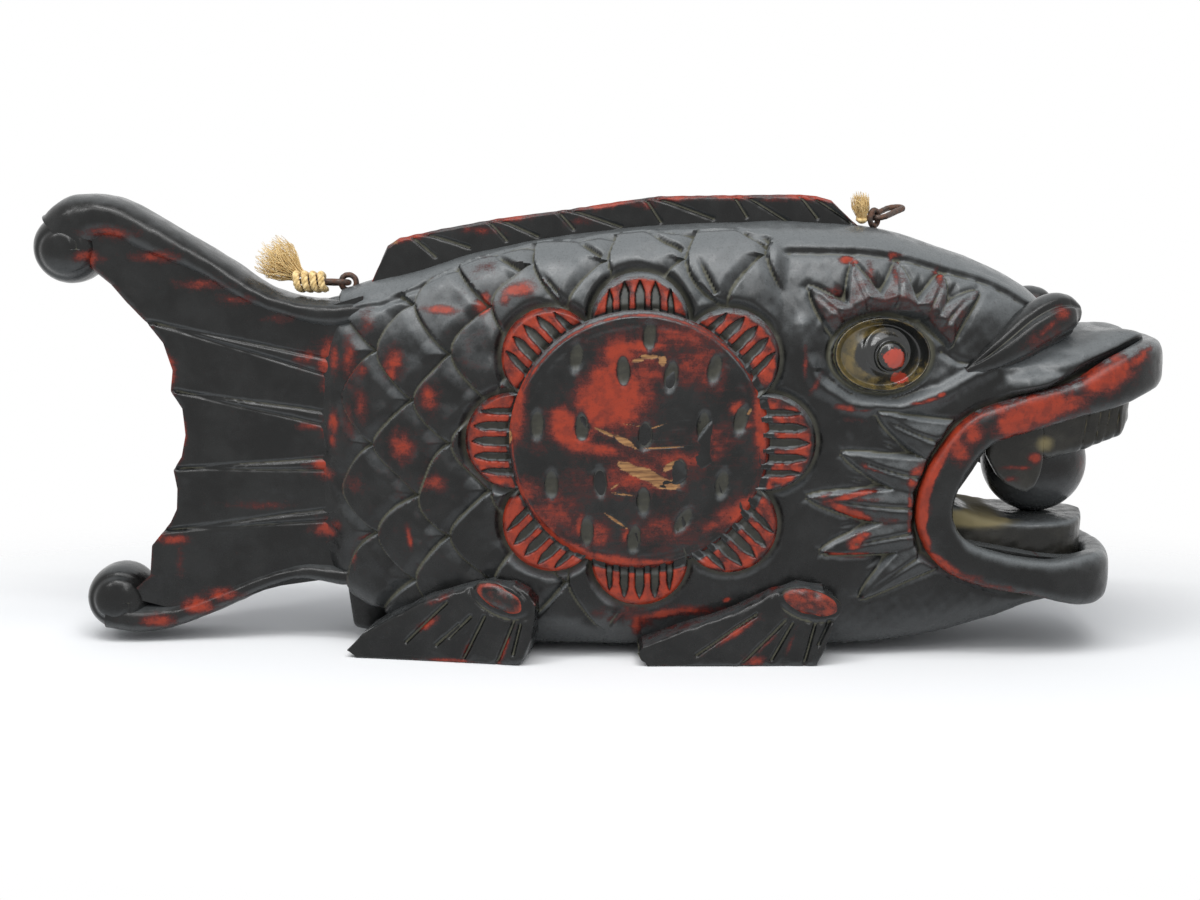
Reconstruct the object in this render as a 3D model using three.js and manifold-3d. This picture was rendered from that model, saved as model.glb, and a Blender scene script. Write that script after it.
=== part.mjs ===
// Wooden fish board: a carved, lacquered temple fish that is hung by two iron links and struck on
// its side, with a loose ball in its jaws. Millimetres. +X points to the head, +Y to the far side
// and +Z up. The origin is under the middle of the fish, on the surface that its fins stand on.
import * as THREE from "three";
import { mergeVertices } from "three/addons/utils/BufferGeometryUtils.js";
import Module from "manifold-3d";

const wasm = await Module();
wasm.setup();

// Clearance between pieces that touch
const GAP = 0.3;

// How far a cutting tool runs past the skin that it cuts
const CUT_REACH = 90;

// Furthest that a face may shift where slivers between crossing forms are merged
const SLIVER = 0.05;

// Lines of the trunk from the tail root to the snout: place along X, back, belly and half width
const STATIONS = [
  { x: -144, top: 178, bottom: 40, half: 13 },
  { x: -126, top: 187.5, bottom: 26, half: 26 },
  { x: -100, top: 194, bottom: 14, half: 36 },
  { x: -60, top: 205, bottom: 5, half: 45 },
  { x: -20, top: 213, bottom: 2.5, half: 50 },
  { x: 25, top: 218, bottom: 2.5, half: 52 },
  { x: 70, top: 220, bottom: 2.5, half: 52.5 },
  { x: 110, top: 220, bottom: 2.5, half: 52 },
  { x: 146, top: 216, bottom: 4, half: 50 },
  { x: 180, top: 205.5, bottom: 9.5, half: 47 },
  { x: 205, top: 195.5, bottom: 17, half: 45 },
  { x: 226, top: 183, bottom: 24, half: 43 },
  { x: 244, top: 171, bottom: 28, half: 41 },
  { x: 260, top: 168, bottom: 30, half: 38 },
  { x: 274, top: 166, bottom: 32, half: 33 },
  { x: 285, top: 160, bottom: 38, half: 24 },
  { x: 290, top: 150, bottom: 48, half: 12 },
];
const RING_POINTS = 20;
const UPPER_FULLNESS = 2.4;
const LOWER_FULLNESS = 5.5;

// Resonance chamber, hollowed out through a slot in the belly
const chamber = { rear: -72, front: 142, half: 27, bottom: 32, top: 166, corner: 16 };
const slot = { rear: -46, front: 106, half: 9 };

// Tail: a web with a scalloped edge between two rolled lobes
const web = { half: 15, bevel: 3 };
const WEB_OUTLINE = [
  [-128, 184], [-150, 178], [-178, 184], [-210, 202], [-245, 221], [-270, 224],
  [-262, 197], [-252, 190], [-244, 180.5], [-234.5, 170.5],
  [-226.5, 160], [-222, 146], [-223.5, 135],
  [-218, 126], [-216.8, 112], [-219, 101], [-223.5, 94],
  [-222, 84], [-223, 73], [-226.5, 66], [-236.5, 54],
  [-238, 38], [-255, 25], [-250, 8], [-218, 12], [-180, 26], [-150, 33], [-128, 30],
];
const upperLobe = [
  { x: -275, z: 213, reach: 17.5, half: 20 },
  { x: -267, z: 221, reach: 15, half: 20 },
  { x: -250, z: 223, reach: 11, half: 20 },
  { x: -226, z: 211, reach: 9.5, half: 19 },
  { x: -202, z: 198.5, reach: 8, half: 18.5 },
  { x: -178, z: 183.5, reach: 7, half: 18 },
  { x: -158, z: 176.5, reach: 7, half: 18 },
  { x: -138, z: 174, reach: 8, half: 20 },
];
const upperKnob = { x: -275, z: 208, reach: 19, half: 22 };
const lowerLobe = [
  { x: -262, z: 14, reach: 9, half: 20 },
  { x: -246, z: 11.5, reach: 8.6, half: 20 },
  { x: -226, z: 14, reach: 7.5, half: 19 },
  { x: -204, z: 22, reach: 6.5, half: 18.5 },
  { x: -180, z: 32, reach: 6, half: 18 },
  { x: -158, z: 38, reach: 6, half: 19 },
  { x: -136, z: 36, reach: 7, half: 21 },
];
const lowerKnob = { x: -257, z: 22, reach: 18, half: 21 };
const TAIL_RAYS = [
  { from: [-233, 170], to: [-137, 149], spread: 9 },
  { from: [-221, 134], to: [-138, 119], spread: 8 },
  { from: [-222, 94], to: [-138, 97], spread: 7 },
  { from: [-232, 55], to: [-138, 68], spread: 8 },
];
const rayGroove = { width: 2.6, depth: 1.6 };

// Anal fin, a short keel under the tail root
const ANAL_FIN = [[-142, 44], [-135, 30], [-132, 6], [-122, 4], [-110, 10], [-92, 16], [-92, 40]];
const analFin = { half: 10, bevel: 3 };

// Lotus medallion on each flank, the place that is struck
const medallion = { x: 20, z: 113.5, radius: 65.5, root: 33, face: 56.5, edgeRound: 2.5, crown: 1.6 };
const petal = { count: 8, reachX: 63.5, reachZ: 59.5, radius: 24.5, root: 10, stand: 3.8 };
const petalRecess = { margin: 3, depth: 1.8 };
const PETAL_SIDES = 12;

// Scales in staggered columns, each a low wedge that is free on its tail side, up to the line
// that ends them at each height
const scale = {
  firstCusp: -114.6, pitch: 19.7, columns: 11, row: 47, middle: 133.2, rows: 2, reach: 18.5, bulge: 1.7,
  lift: 2, fall: 15, rooted: 0.6, sunk: 5, steps: 3, foot: 44, belowRidge: 6, leastSpan: 0.4,
};
const SCALE_END = [[70, 4], [105, 55], [170, 80], [205, 86]];

// Flames of the brow and leaves of the cheek: low tongues from a root to a tip on the flank
const tongue = { rim: 2.3, dip: 1, sunk: 5, steps: 2, end: 0.96, taper: 0.75 };
const BROW = [
  { root: [124, 173], tip: [105, 190], half: 9.5 },
  { root: [135, 177], tip: [127, 201], half: 12 },
  { root: [148, 178], tip: [150, 202], half: 12 },
  { root: [163, 176], tip: [173, 195.5], half: 8.5 },
  { root: [170, 168], tip: [191, 186.5], half: 9 },
];
const CHEEK = [
  { root: [174, 112], tip: [139, 127.5], half: 12 },
  { root: [170, 93], tip: [122, 107.5], half: 12.5 },
  { root: [168, 79], tip: [105, 85.5], half: 12.5 },
  { root: [168, 68], tip: [112.5, 57.5], half: 12 },
  { root: [168, 58], tip: [133, 32.5], half: 11 },
];

// Eye, a separate boss let into a socket: a raised rim, a hollow iris and a domed pupil
const eye = { x: 140.5, z: 157, halfLength: 24.5, halfHeight: 18.5, depth: 8 };
const eyeRim = { edge: 1.2, crest: 2.8, crestAt: 0.96, inner: 0.9, hollow: -2.2, hollowAt: 0.8, middle: 1.7 };
const pupil = { ahead: 4.6, radius: 8, stand: 4.3 };
const socketReach = 30;
const eyelid = { bead: 4.2, overlap: 1.2, steps: 22, sides: 6 };

// Jaws
const MOUTH_OUTLINE = [
  [330, 142], [290, 140], [262, 133], [231, 122], [206, 117], [196, 111], [188, 98],
  [181, 88], [177.5, 78], [180, 67], [188, 60], [224, 53], [250, 50], [262, 46],
  [266, 38], [266, -10], [330, -10],
];
const LIP_LINE = [
  [285.5, 0, 151], [283, -19, 151], [274.5, -33, 149.5], [259, -40.5, 143], [236, -43.5, 133],
  [210, -45.5, 126], [191, -47, 118.5], [178, -48, 104], [169.5, -48.5, 86], [170, -48.5, 69],
  [181, -47.5, 54.5], [202, -45.5, 46], [224, -43.5, 42], [243, -39, 39.5], [255, -27.5, 40.5],
  [259.5, 0, 41],
];
const LIP_STEPS = 34;
const LIP_SIDES = 8;
const lip = { halfBreadth: 9.5, halfDepth: 8, squareness: 0.7 };
const lipPlan = { x: 190, reach: 100, half: 47 };
const UPPER_GUM = [
  [198, 122], [212, 108], [229, 99.5], [249, 104.5], [267, 112], [272.5, 119], [273, 140], [215, 140],
];
const upperGum = { half: 35, bevel: 2 };
const FANG = [
  [199, 118], [197, 107], [201, 99], [207, 94], [213, 86.5], [218, 85], [223, 89.5], [226.5, 99],
  [227, 108], [224, 119],
];
const fang = { inner: 29.5, outer: 37.5, bevel: 1.5 };
const lowerGum = { rear: 180, front: 256, half: 33, floor: 46, top: 69.5, noseRadius: 26 };
const lowerGumHeel = { behind: 12, crest: 16, foot: 34, rise: 10, crestRise: 3 };
const ball = { x: 230.5, radius: 27.3, seat: 1.2, round: 20, tall: 12 };
const ballPocket = 2.7;

// Rolled leaf over each nostril
const NOSTRIL_LINE = [
  { x: 195, y: 40, z: 149.5, radius: 3 },
  { x: 203, y: 38, z: 155, radius: 6 },
  { x: 214, y: 33, z: 163.5, radius: 8.6 },
  { x: 225, y: 28, z: 171.5, radius: 10.2 },
  { x: 233, y: 25, z: 174.5, radius: 10.2 },
  { x: 239, y: 23.5, z: 175.5, radius: 7.5 },
];
const NOSTRIL_SIDES = 8;

// Dorsal fin, a board let into a groove along the back
const DORSAL_TOP = [
  [-119, 191], [-110.5, 209], [-104, 213], [-83, 218], [-52, 223], [-20, 227.5], [10, 232],
  [30, 234.6], [60, 235.4], [104, 235.5], [120, 233], [134, 219],
];
const dorsal = { half: 6.5, bevel: 1.5, let: 6, baseSteps: 14 };
const dorsalPeg = { radius: 3, length: 26, places: [-60, 80] };

// Fins that the fish stands on, each pegged to the flank
const pectoral = {
  outline: [
    [22, 0], [110, 0], [116, 9], [113.5, 21], [120, 27], [121, 36], [113, 41], [99, 43.5], [86, 40],
    [50, 27], [19.5, 10],
  ],
  face: 62,
  turn: 0,
  turnAbout: 70,
  knob: { x: 106, z: 33, long: 16, short: 8, tilt: -14 },
  pegs: [[62, 15], [98, 22]],
};
const pelvic = {
  outline: [
    [-127, 0], [-44, 0], [-38.5, 4], [-36, 12], [-33, 33], [-38, 40], [-49, 43.5], [-65, 41],
    [-100, 28], [-116, 17], [-131, 4],
  ],
  face: 58,
  turn: 10,
  turnAbout: -60,
  knob: { x: -49, z: 34, long: 15, short: 7.5, tilt: -24 },
  pegs: [[-82, 15], [-50, 21]],
};
const finBody = { root: 26, bevel: 2.5, knobSink: 3, knobStand: 2.5 };
const finPeg = { radius: 2.5, length: 18 };
const PIN_SIDES = 12;

// Iron fittings
const ring = { wire: 1.5, hole: 2.5 };
const shank = { radius: 1.6, length: 24 };
const rearStaple = { x: -131.5, rise: 4.8, turn: 0 };
const frontStaple = { x: 142.5, rise: 6.6, turn: 50 };
const WIRE_SIDES = 8;
const link = { wire: 1.6, length: 28, width: 12.4, endSteps: 7 };
const rearLink = { pitch: 1, roll: 8 };
const frontLink = { pitch: 12, roll: 0 };

// Rope ends left on the fittings: one wound round the rear link, one knotted behind the front ring
const winding = { radius: 1.9, loops: 3.5, pitch: 4.3, fromEnd: 8.5, squareness: 0.6, steps: 24, sides: 6 };
const rearTuft = { length: 27, neck: 4.2, flare: 11.5, pitch: 36 };
const frontTuft = { length: 17, neck: 3.4, flare: 6.6, pitch: 98 };
const frontKnot = { behind: 6.4, nearer: 1.6, radius: 3.4 };

// Finishes
const lacquer = new THREE.MeshStandardMaterial({ color: 0x2d3030, roughness: 0.38, metalness: 0 });
const eyeGilt = new THREE.MeshStandardMaterial({ color: 0x826e28, roughness: 0.35, metalness: 0.1 });
const bareWood = new THREE.MeshStandardMaterial({ color: 0xb48246, roughness: 0.7, metalness: 0 });
const iron = new THREE.MeshStandardMaterial({ color: 0x5a4b44, roughness: 0.65, metalness: 0.8 });
const hemp = new THREE.MeshStandardMaterial({ color: 0xc8a05a, roughness: 0.95, metalness: 0 });

const NEAR = -1;
const FAR = 1;
const SIDES = [{ name: "near", side: NEAR }, { name: "far", side: FAR }];

// Signed volume of an indexed geometry, to see which way its faces point
function signedVolume(positions, index) {
  const corner = (i) => new THREE.Vector3().fromArray(positions, 3 * index[i]);
  let sum = 0;
  for (let i = 0; i < index.length; i += 3) {
    sum += corner(i).dot(corner(i + 1).cross(corner(i + 2)));
  }
  return sum / 6;
}

// A closed geometry as a solid with its faces pointing out
function solidOf(geometry) {
  const bare = geometry.clone();
  bare.deleteAttribute("normal");
  bare.deleteAttribute("uv");
  const merged = mergeVertices(bare, 1e-3);
  const positions = merged.attributes.position.array;
  const index = new Uint32Array(merged.index.array);
  if (signedVolume(positions, index) < 0) index.reverse();
  return new wasm.Manifold(
    new wasm.Mesh({ numProp: 3, vertProperties: positions, triVerts: index }),
  );
}

// A solid as a named mesh
function meshOf(name, solid, material) {
  const data = solid.getMesh();
  const count = data.vertProperties.length / data.numProp;
  const positions = new Float32Array(count * 3);
  for (let i = 0; i < count; i += 1) {
    positions.set(data.vertProperties.subarray(i * data.numProp, i * data.numProp + 3), i * 3);
  }
  const geometry = new THREE.BufferGeometry();
  geometry.setAttribute("position", new THREE.BufferAttribute(positions, 3));
  geometry.setIndex(new THREE.BufferAttribute(new Uint32Array(data.triVerts), 1));
  geometry.computeVertexNormals();
  const mesh = new THREE.Mesh(geometry, material);
  mesh.name = name;
  return mesh;
}

const joined = (solids) => solids.reduce((sum, solid) => sum.add(solid));
const without = (solid, cutters) => cutters.reduce((rest, cutter) => rest.subtract(cutter), solid);

// A surface through rings of equally many points, closed at both ends or run round to its start
function loft(rings, closed = false) {
  const sides = rings[0].length;
  const points = rings.flat();
  const index = [];
  const spans = closed ? rings.length : rings.length - 1;
  for (let r = 0; r < spans; r += 1) {
    const here = r * sides;
    const next = ((r + 1) % rings.length) * sides;
    for (let s = 0; s < sides; s += 1) {
      const t = (s + 1) % sides;
      index.push(here + s, here + t, next + s, next + s, here + t, next + t);
    }
  }
  if (!closed) {
    const ends = [{ base: 0, flip: true }, { base: (rings.length - 1) * sides, flip: false }];
    for (const { base, flip } of ends) {
      const hub = points.length;
      const centre = new THREE.Vector3();
      for (let s = 0; s < sides; s += 1) centre.addScaledVector(points[base + s], 1 / sides);
      points.push(centre);
      for (let s = 0; s < sides; s += 1) {
        const t = (s + 1) % sides;
        if (flip) index.push(hub, base + t, base + s);
        else index.push(hub, base + s, base + t);
      }
    }
  }
  const geometry = new THREE.BufferGeometry().setFromPoints(points);
  geometry.setIndex(index);
  return geometry;
}

// An outline in X and Z, carried through Y between two faces, with its rims bevelled
function slab(outline, yFrom, yTo, bevel = 0) {
  const shape = new THREE.Shape(outline.map(([x, z]) => new THREE.Vector2(x, z)));
  const depth = yTo - yFrom - 2 * bevel;
  const options = { depth, bevelEnabled: bevel > 0, bevelThickness: bevel, bevelSize: bevel };
  options.bevelOffset = -bevel;
  options.bevelSegments = 1;
  const geometry = new THREE.ExtrudeGeometry(shape, options);
  geometry.rotateX(Math.PI / 2);
  geometry.translate(0, yTo - bevel, 0);
  return geometry;
}

// Value of one of the trunk's lines at a place along X, smooth through the stations
function lineAt(x, key) {
  const last = STATIONS.length - 1;
  let i = 0;
  while (i < last - 1 && x > STATIONS[i + 1].x) i += 1;
  const slope = (k) => {
    const a = STATIONS[Math.max(k - 1, 0)];
    const b = STATIONS[Math.min(k + 1, last)];
    return (b[key] - a[key]) / (b.x - a.x);
  };
  const [p, q] = [STATIONS[i], STATIONS[i + 1]];
  const span = q.x - p.x;
  const t = THREE.MathUtils.clamp((x - p.x) / span, 0, 1);
  const u = 1 - t;
  const ends = p[key] * u * u * (1 + 2 * t) + q[key] * t * t * (3 - 2 * t);
  return ends + span * t * u * (slope(i) * u - slope(i + 1) * t);
}

const ridgeAt = (x) => lineAt(x, "top");

// Half width of the trunk at a place on its flank
function flankAt(x, z) {
  const [top, bottom] = [lineAt(x, "top"), lineAt(x, "bottom")];
  const middle = (top + bottom) / 2;
  const share = Math.min(Math.abs(z - middle) / ((top - bottom) / 2), 0.995);
  const fullness = z > middle ? UPPER_FULLNESS : LOWER_FULLNESS;
  return lineAt(x, "half") * (1 - share ** fullness) ** (1 / fullness);
}

// Direction straight out of the flank
function flankNormal(x, z, side) {
  const step = 2;
  const alongX = (flankAt(x + step, z) - flankAt(x - step, z)) / (2 * step);
  const alongZ = (flankAt(x, z + step) - flankAt(x, z - step)) / (2 * step);
  return new THREE.Vector3(-alongX, side, -alongZ).normalize();
}

// Point at a height straight out of the flank
function flankPoint(x, z, side, height) {
  return flankNormal(x, z, side).multiplyScalar(height).add(new THREE.Vector3(x, side * flankAt(x, z), z));
}

// Value of a table of places and values, straight between its rows
function tableAt(table, place) {
  const i = Math.max(1, Math.min(table.length - 1, table.findIndex(([at]) => at > place)));
  const [[fromPlace, from], [toPlace, to]] = [table[i - 1], table[i]];
  const share = THREE.MathUtils.clamp((place - fromPlace) / (toPlace - fromPlace), 0, 1);
  return THREE.MathUtils.lerp(from, to, share);
}

// Placement on the flank whose +Y points straight out and whose +Z points up the flank
function onFlank(x, z, side) {
  const out = flankNormal(x, z, side);
  const across = new THREE.Vector3().crossVectors(out, new THREE.Vector3(0, 0, 1)).normalize();
  const up = new THREE.Vector3().crossVectors(across, out);
  const place = new THREE.Matrix4().makeBasis(across, out, up);
  return place.setPosition(x, side * flankAt(x, z), z);
}

// The trunk's full skin, swollen outwards by the height of whatever relief lies on it
function trunkSkin(swell = 0) {
  const rings = STATIONS.map(({ x, top, bottom, half }) => {
    const ring = [];
    for (let s = 0; s < RING_POINTS; s += 1) {
      const angle = (2 * Math.PI * s) / RING_POINTS;
      const [c, d] = [Math.cos(angle), Math.sin(angle)];
      const fullness = d > 0 ? UPPER_FULLNESS : LOWER_FULLNESS;
      const y = Math.sign(c) * Math.abs(c) ** (2 / fullness) * (half + swell);
      const z = Math.sign(d) * Math.abs(d) ** (2 / fullness) * ((top - bottom) / 2 + swell);
      ring.push(new THREE.Vector3(x, y, (top + bottom) / 2 + z));
    }
    return ring;
  });
  return solidOf(loft(rings));
}

// A rounded lobe through stations in the middle plane, each with its reach and half thickness
function lobe(stations, sides = 10) {
  const line = new THREE.SplineCurve(stations.map(({ x, z }) => new THREE.Vector2(x, z)));
  const rings = stations.map((station, i) => {
    const heading = line.getTangent(i / (stations.length - 1));
    const ring = [];
    for (let s = 0; s < sides; s += 1) {
      const angle = (2 * Math.PI * s) / sides;
      const out = station.reach * Math.cos(angle);
      const y = station.half * Math.sin(angle);
      ring.push(new THREE.Vector3(station.x - heading.y * out, y, station.z + heading.x * out));
    }
    return ring;
  });
  return solidOf(loft(rings));
}

function knob({ x, z, reach, half }) {
  const geometry = new THREE.SphereGeometry(1, 12, 7);
  geometry.scale(reach, half, reach);
  geometry.translate(x, 0, z);
  return solidOf(geometry);
}

// A groove of V section cut along a straight line into the web's face
function rayCutter([fromX, fromZ], [toX, toZ], side) {
  const length = Math.hypot(toX - fromX, toZ - fromZ);
  const geometry = new THREE.CylinderGeometry(1, 1, length, 4);
  geometry.scale(rayGroove.width / 2, 1, rayGroove.depth);
  geometry.rotateZ(Math.PI / 2);
  geometry.rotateX(Math.PI / 2);
  geometry.rotateX(Math.PI / 2);
  geometry.rotateY(-Math.atan2(toZ - fromZ, toX - fromX));
  geometry.translate((fromX + toX) / 2, side * web.half, (fromZ + toZ) / 2);
  return solidOf(geometry);
}

function tailSolid() {
  const sheet = solidOf(slab(WEB_OUTLINE, -web.half, web.half, web.bevel));
  const cutters = [];
  for (const { from, to, spread } of TAIL_RAYS) {
    for (const { side } of SIDES) {
      cutters.push(rayCutter(from, [to[0], to[1] + spread / 2], side));
      cutters.push(rayCutter(from, [to[0], to[1] - spread / 2], side));
    }
  }
  const lobes = [lobe(upperLobe), lobe(lowerLobe), knob(upperKnob), knob(lowerKnob)];
  const keel = solidOf(slab(ANAL_FIN, -analFin.half, analFin.half, analFin.bevel));
  return joined([without(sheet, cutters), ...lobes, keel]);
}

// Disc of the medallion, turned from a profile that is slightly crowned
function discSolid(side) {
  const { radius, root, face, edgeRound, crown } = medallion;
  const profile = [
    [0, root], [radius, root], [radius, face - crown - edgeRound], [radius - edgeRound, face - crown],
    [0, face],
  ];
  const geometry = new THREE.LatheGeometry(profile.map(([r, y]) => new THREE.Vector2(r, y)), 30);
  if (side === NEAR) geometry.rotateX(Math.PI);
  geometry.translate(medallion.x, 0, medallion.z);
  return solidOf(geometry);
}

// Round pad on the flank, from a depth inside it to a height above it
function flankPad({ x, z }, radius, low, high, side) {
  const geometry = new THREE.CylinderGeometry(radius, radius, high - low, PETAL_SIDES);
  geometry.translate(0, (high + low) / 2, 0);
  geometry.applyMatrix4(onFlank(x, z, side));
  return solidOf(geometry);
}

function petalPlaces() {
  const places = [];
  for (let i = 0; i < petal.count; i += 1) {
    const angle = (2 * Math.PI * i) / petal.count;
    places.push({
      x: medallion.x + petal.reachX * Math.cos(angle),
      z: medallion.z + petal.reachZ * Math.sin(angle),
    });
  }
  return places;
}

function petalPads(side, inset = 0) {
  const { radius, root, stand } = petal;
  return joined(petalPlaces().map((place) => flankPad(place, radius - inset, -root, stand, side)));
}

function medallionSolid(side) {
  const { radius, root, stand } = petal;
  const { margin, depth } = petalRecess;
  const sunk = petalPlaces().map(
    (place) => flankPad(place, radius - margin, stand - depth, stand + root, side),
  );
  return without(petalPads(side), sunk).add(discSolid(side));
}

// One scale between two shares of its height, as a wedge that runs into the flank towards the head
function scaleSolid(cusp, centre, low, high, side) {
  const rings = [];
  for (let i = 0; i <= scale.steps; i += 1) {
    const share = THREE.MathUtils.lerp(low, high, i / scale.steps);
    const x = cusp - scale.reach * (1 - Math.abs(share) ** scale.bulge);
    const z = centre + (share * scale.row) / 2;
    const inner = x + scale.fall;
    rings.push([
      flankPoint(x, z, side, scale.lift), flankPoint(inner, z, side, -scale.rooted),
      flankPoint(inner, z, side, -scale.sunk), flankPoint(x, z, side, -scale.sunk),
    ]);
  }
  return solidOf(loft(rings));
}

// All scales of a flank outside the petals
function scalesSolid(side) {
  const half = scale.row / 2;
  const wedges = [];
  for (let column = 0; column < scale.columns; column += 1) {
    const cusp = scale.firstCusp + column * scale.pitch;
    for (let row = -scale.rows; row <= scale.rows; row += 1) {
      const centre = scale.middle + row * scale.row + (column % 2) * half;
      const low = Math.max(-1, (scale.foot - centre) / half);
      const high = Math.min(1, (ridgeAt(cusp) - scale.belowRidge - centre) / half);
      const ends = tableAt(SCALE_END, centre + ((low + high) / 2) * half);
      if (high - low > scale.leastSpan && cusp < ends) {
        wedges.push(scaleSolid(cusp, centre, low, high, side));
      }
    }
  }
  return joined(wedges).subtract(petalPads(side, petalRecess.margin / 2));
}

// One tongue of the brow or the cheek, with a dip along its middle
function tongueSolid({ root: [rootX, rootZ], tip: [tipX, tipZ], half }, side) {
  const heading = new THREE.Vector2(tipX - rootX, tipZ - rootZ);
  const across = new THREE.Vector2(-heading.y, heading.x).normalize();
  const rings = [];
  for (let i = 0; i <= tongue.steps; i += 1) {
    const share = (tongue.end * i) / tongue.steps;
    const wide = half * (1 - share) ** tongue.taper;
    const at = (offset, height) => flankPoint(
      rootX + heading.x * share + across.x * offset, rootZ + heading.y * share + across.y * offset,
      side, height,
    );
    rings.push([
      at(-wide, tongue.rim), at(0, tongue.rim - tongue.dip), at(wide, tongue.rim), at(wide, -tongue.sunk),
      at(-wide, -tongue.sunk),
    ]);
  }
  return solidOf(loft(rings));
}

const faceSolid = (side) => joined([...BROW, ...CHEEK].map((shape) => tongueSolid(shape, side)));

// Elliptical plug that stands on the flank with its axis straight out
function eyePlug(profile, side, growth = 0, segments = 22) {
  const geometry = new THREE.LatheGeometry(
    profile.map(([r, y]) => new THREE.Vector2(r, y)), segments,
  );
  geometry.scale(eye.halfLength + growth, 1, eye.halfHeight + growth);
  geometry.applyMatrix4(onFlank(eye.x, eye.z, side));
  return solidOf(geometry);
}

function eyeSolid(side) {
  const { edge, crest, crestAt, inner, hollow, hollowAt, middle } = eyeRim;
  const boss = eyePlug([
    [0, -eye.depth], [1, -eye.depth], [1, edge], [crestAt, crest], [inner, edge], [hollowAt, hollow],
    [hollowAt / 2, hollow / 4], [0, middle],
  ], side);
  const high = pupil.stand;
  const low = -eye.depth / 2;
  const domed = [[0, low], [1, low], [1, high * 0.3], [0.85, high * 0.7], [0.5, high * 0.94], [0, high]];
  const bulge = new THREE.LatheGeometry(
    domed.map(([r, y]) => new THREE.Vector2(r * pupil.radius, y)), 18,
  );
  bulge.translate(side * pupil.ahead, 0, 0);
  bulge.applyMatrix4(onFlank(eye.x, eye.z, side));
  return boss.add(solidOf(bulge));
}

function socketCutter(side) {
  const floor = -eye.depth - GAP;
  return eyePlug([[0, floor], [1, floor], [1, socketReach], [0, socketReach]], side, GAP);
}

function eyelidSolid(side) {
  const around = eyelid.bead - eyelid.overlap;
  const { steps, sides } = eyelid;
  const rings = [];
  for (let i = 0; i < steps; i += 1) {
    const angle = (2 * Math.PI * i) / steps;
    const ring = [];
    for (let s = 0; s < sides; s += 1) {
      const turn = (2 * Math.PI * s) / sides;
      const growth = around + eyelid.bead * Math.cos(turn);
      const x = (eye.halfLength + growth) * Math.cos(angle);
      const z = (eye.halfHeight + growth) * Math.sin(angle);
      ring.push(new THREE.Vector3(x, eyelid.bead * Math.sin(turn), z));
    }
    rings.push(ring);
  }
  const geometry = loft(rings, true);
  geometry.applyMatrix4(onFlank(eye.x, eye.z, side));
  return solidOf(geometry);
}

// Both lips as one band that runs round the jaws, in at the corners of the mouth
function lipSolid() {
  const near = LIP_LINE.map(([x, y, z]) => new THREE.Vector3(x, y, z));
  const far = near.slice(1, -1).reverse().map((p) => new THREE.Vector3(p.x, -p.y, p.z));
  const line = new THREE.CatmullRomCurve3([...near, ...far], true, "centripetal");
  const rings = [];
  for (let i = 0; i < LIP_STEPS; i += 1) {
    const at = line.getPointAt(i / LIP_STEPS);
    const heading = line.getTangentAt(i / LIP_STEPS);
    const plan = new THREE.Vector3(
      (at.x - lipPlan.x) / lipPlan.reach ** 2, at.y / lipPlan.half ** 2, 0,
    ).normalize();
    const across = new THREE.Vector3().crossVectors(heading, plan).normalize();
    const out = new THREE.Vector3().crossVectors(across, heading).normalize();
    const ring = [];
    for (let s = 0; s < LIP_SIDES; s += 1) {
      const angle = (2 * Math.PI * (s + 0.5)) / LIP_SIDES;
      const [c, d] = [Math.cos(angle), Math.sin(angle)];
      const breadth = Math.sign(c) * Math.abs(c) ** lip.squareness * lip.halfBreadth;
      const depth = Math.sign(d) * Math.abs(d) ** lip.squareness * lip.halfDepth;
      ring.push(at.clone().addScaledVector(across, breadth).addScaledVector(out, depth));
    }
    rings.push(ring);
  }
  return solidOf(loft(rings, true));
}

// Lower gum: a tongue-shaped slab, round at the front, that rises to the corners of the mouth
function lowerGumSolid() {
  const { rear, front, half, floor, top, noseRadius } = lowerGum;
  const { behind, crest, foot, rise, crestRise } = lowerGumHeel;
  const shape = new THREE.Shape();
  shape.moveTo(rear - behind, -half);
  shape.lineTo(front - noseRadius, -half);
  shape.quadraticCurveTo(front, -half, front, 0);
  shape.quadraticCurveTo(front, half, front - noseRadius, half);
  shape.lineTo(rear - behind, half);
  const slabGeometry = new THREE.ExtrudeGeometry(shape, {
    depth: top - floor, bevelEnabled: false, curveSegments: 8,
  });
  slabGeometry.translate(0, 0, floor);
  const heelOutline = [
    [rear - behind, floor], [rear + foot, floor], [rear + foot, top], [rear + crest, top + crestRise],
    [rear, top + rise], [rear - behind, top + rise],
  ];
  return solidOf(slabGeometry).add(solidOf(slab(heelOutline, -half, half)));
}

function fangSolid(side) {
  const [from, to] = side === NEAR ? [-fang.outer, -fang.inner] : [fang.inner, fang.outer];
  return solidOf(slab(FANG, from, to, fang.bevel));
}

function nostrilSolid(side) {
  const rings = NOSTRIL_LINE.map(({ x, y, z, radius }, i) => {
    const before = NOSTRIL_LINE[Math.max(i - 1, 0)];
    const after = NOSTRIL_LINE[Math.min(i + 1, NOSTRIL_LINE.length - 1)];
    const heading = new THREE.Vector3(after.x - before.x, side * (after.y - before.y), after.z - before.z);
    heading.normalize();
    const across = new THREE.Vector3(0, 1, 0).cross(heading).normalize();
    const out = new THREE.Vector3().crossVectors(heading, across);
    const ring = [];
    for (let s = 0; s < NOSTRIL_SIDES; s += 1) {
      const angle = (2 * Math.PI * s) / NOSTRIL_SIDES;
      const centre = new THREE.Vector3(x, side * y, z);
      centre.addScaledVector(across, radius * Math.cos(angle));
      ring.push(centre.addScaledVector(out, radius * Math.sin(angle)));
    }
    return ring;
  });
  return solidOf(loft(rings));
}

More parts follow.
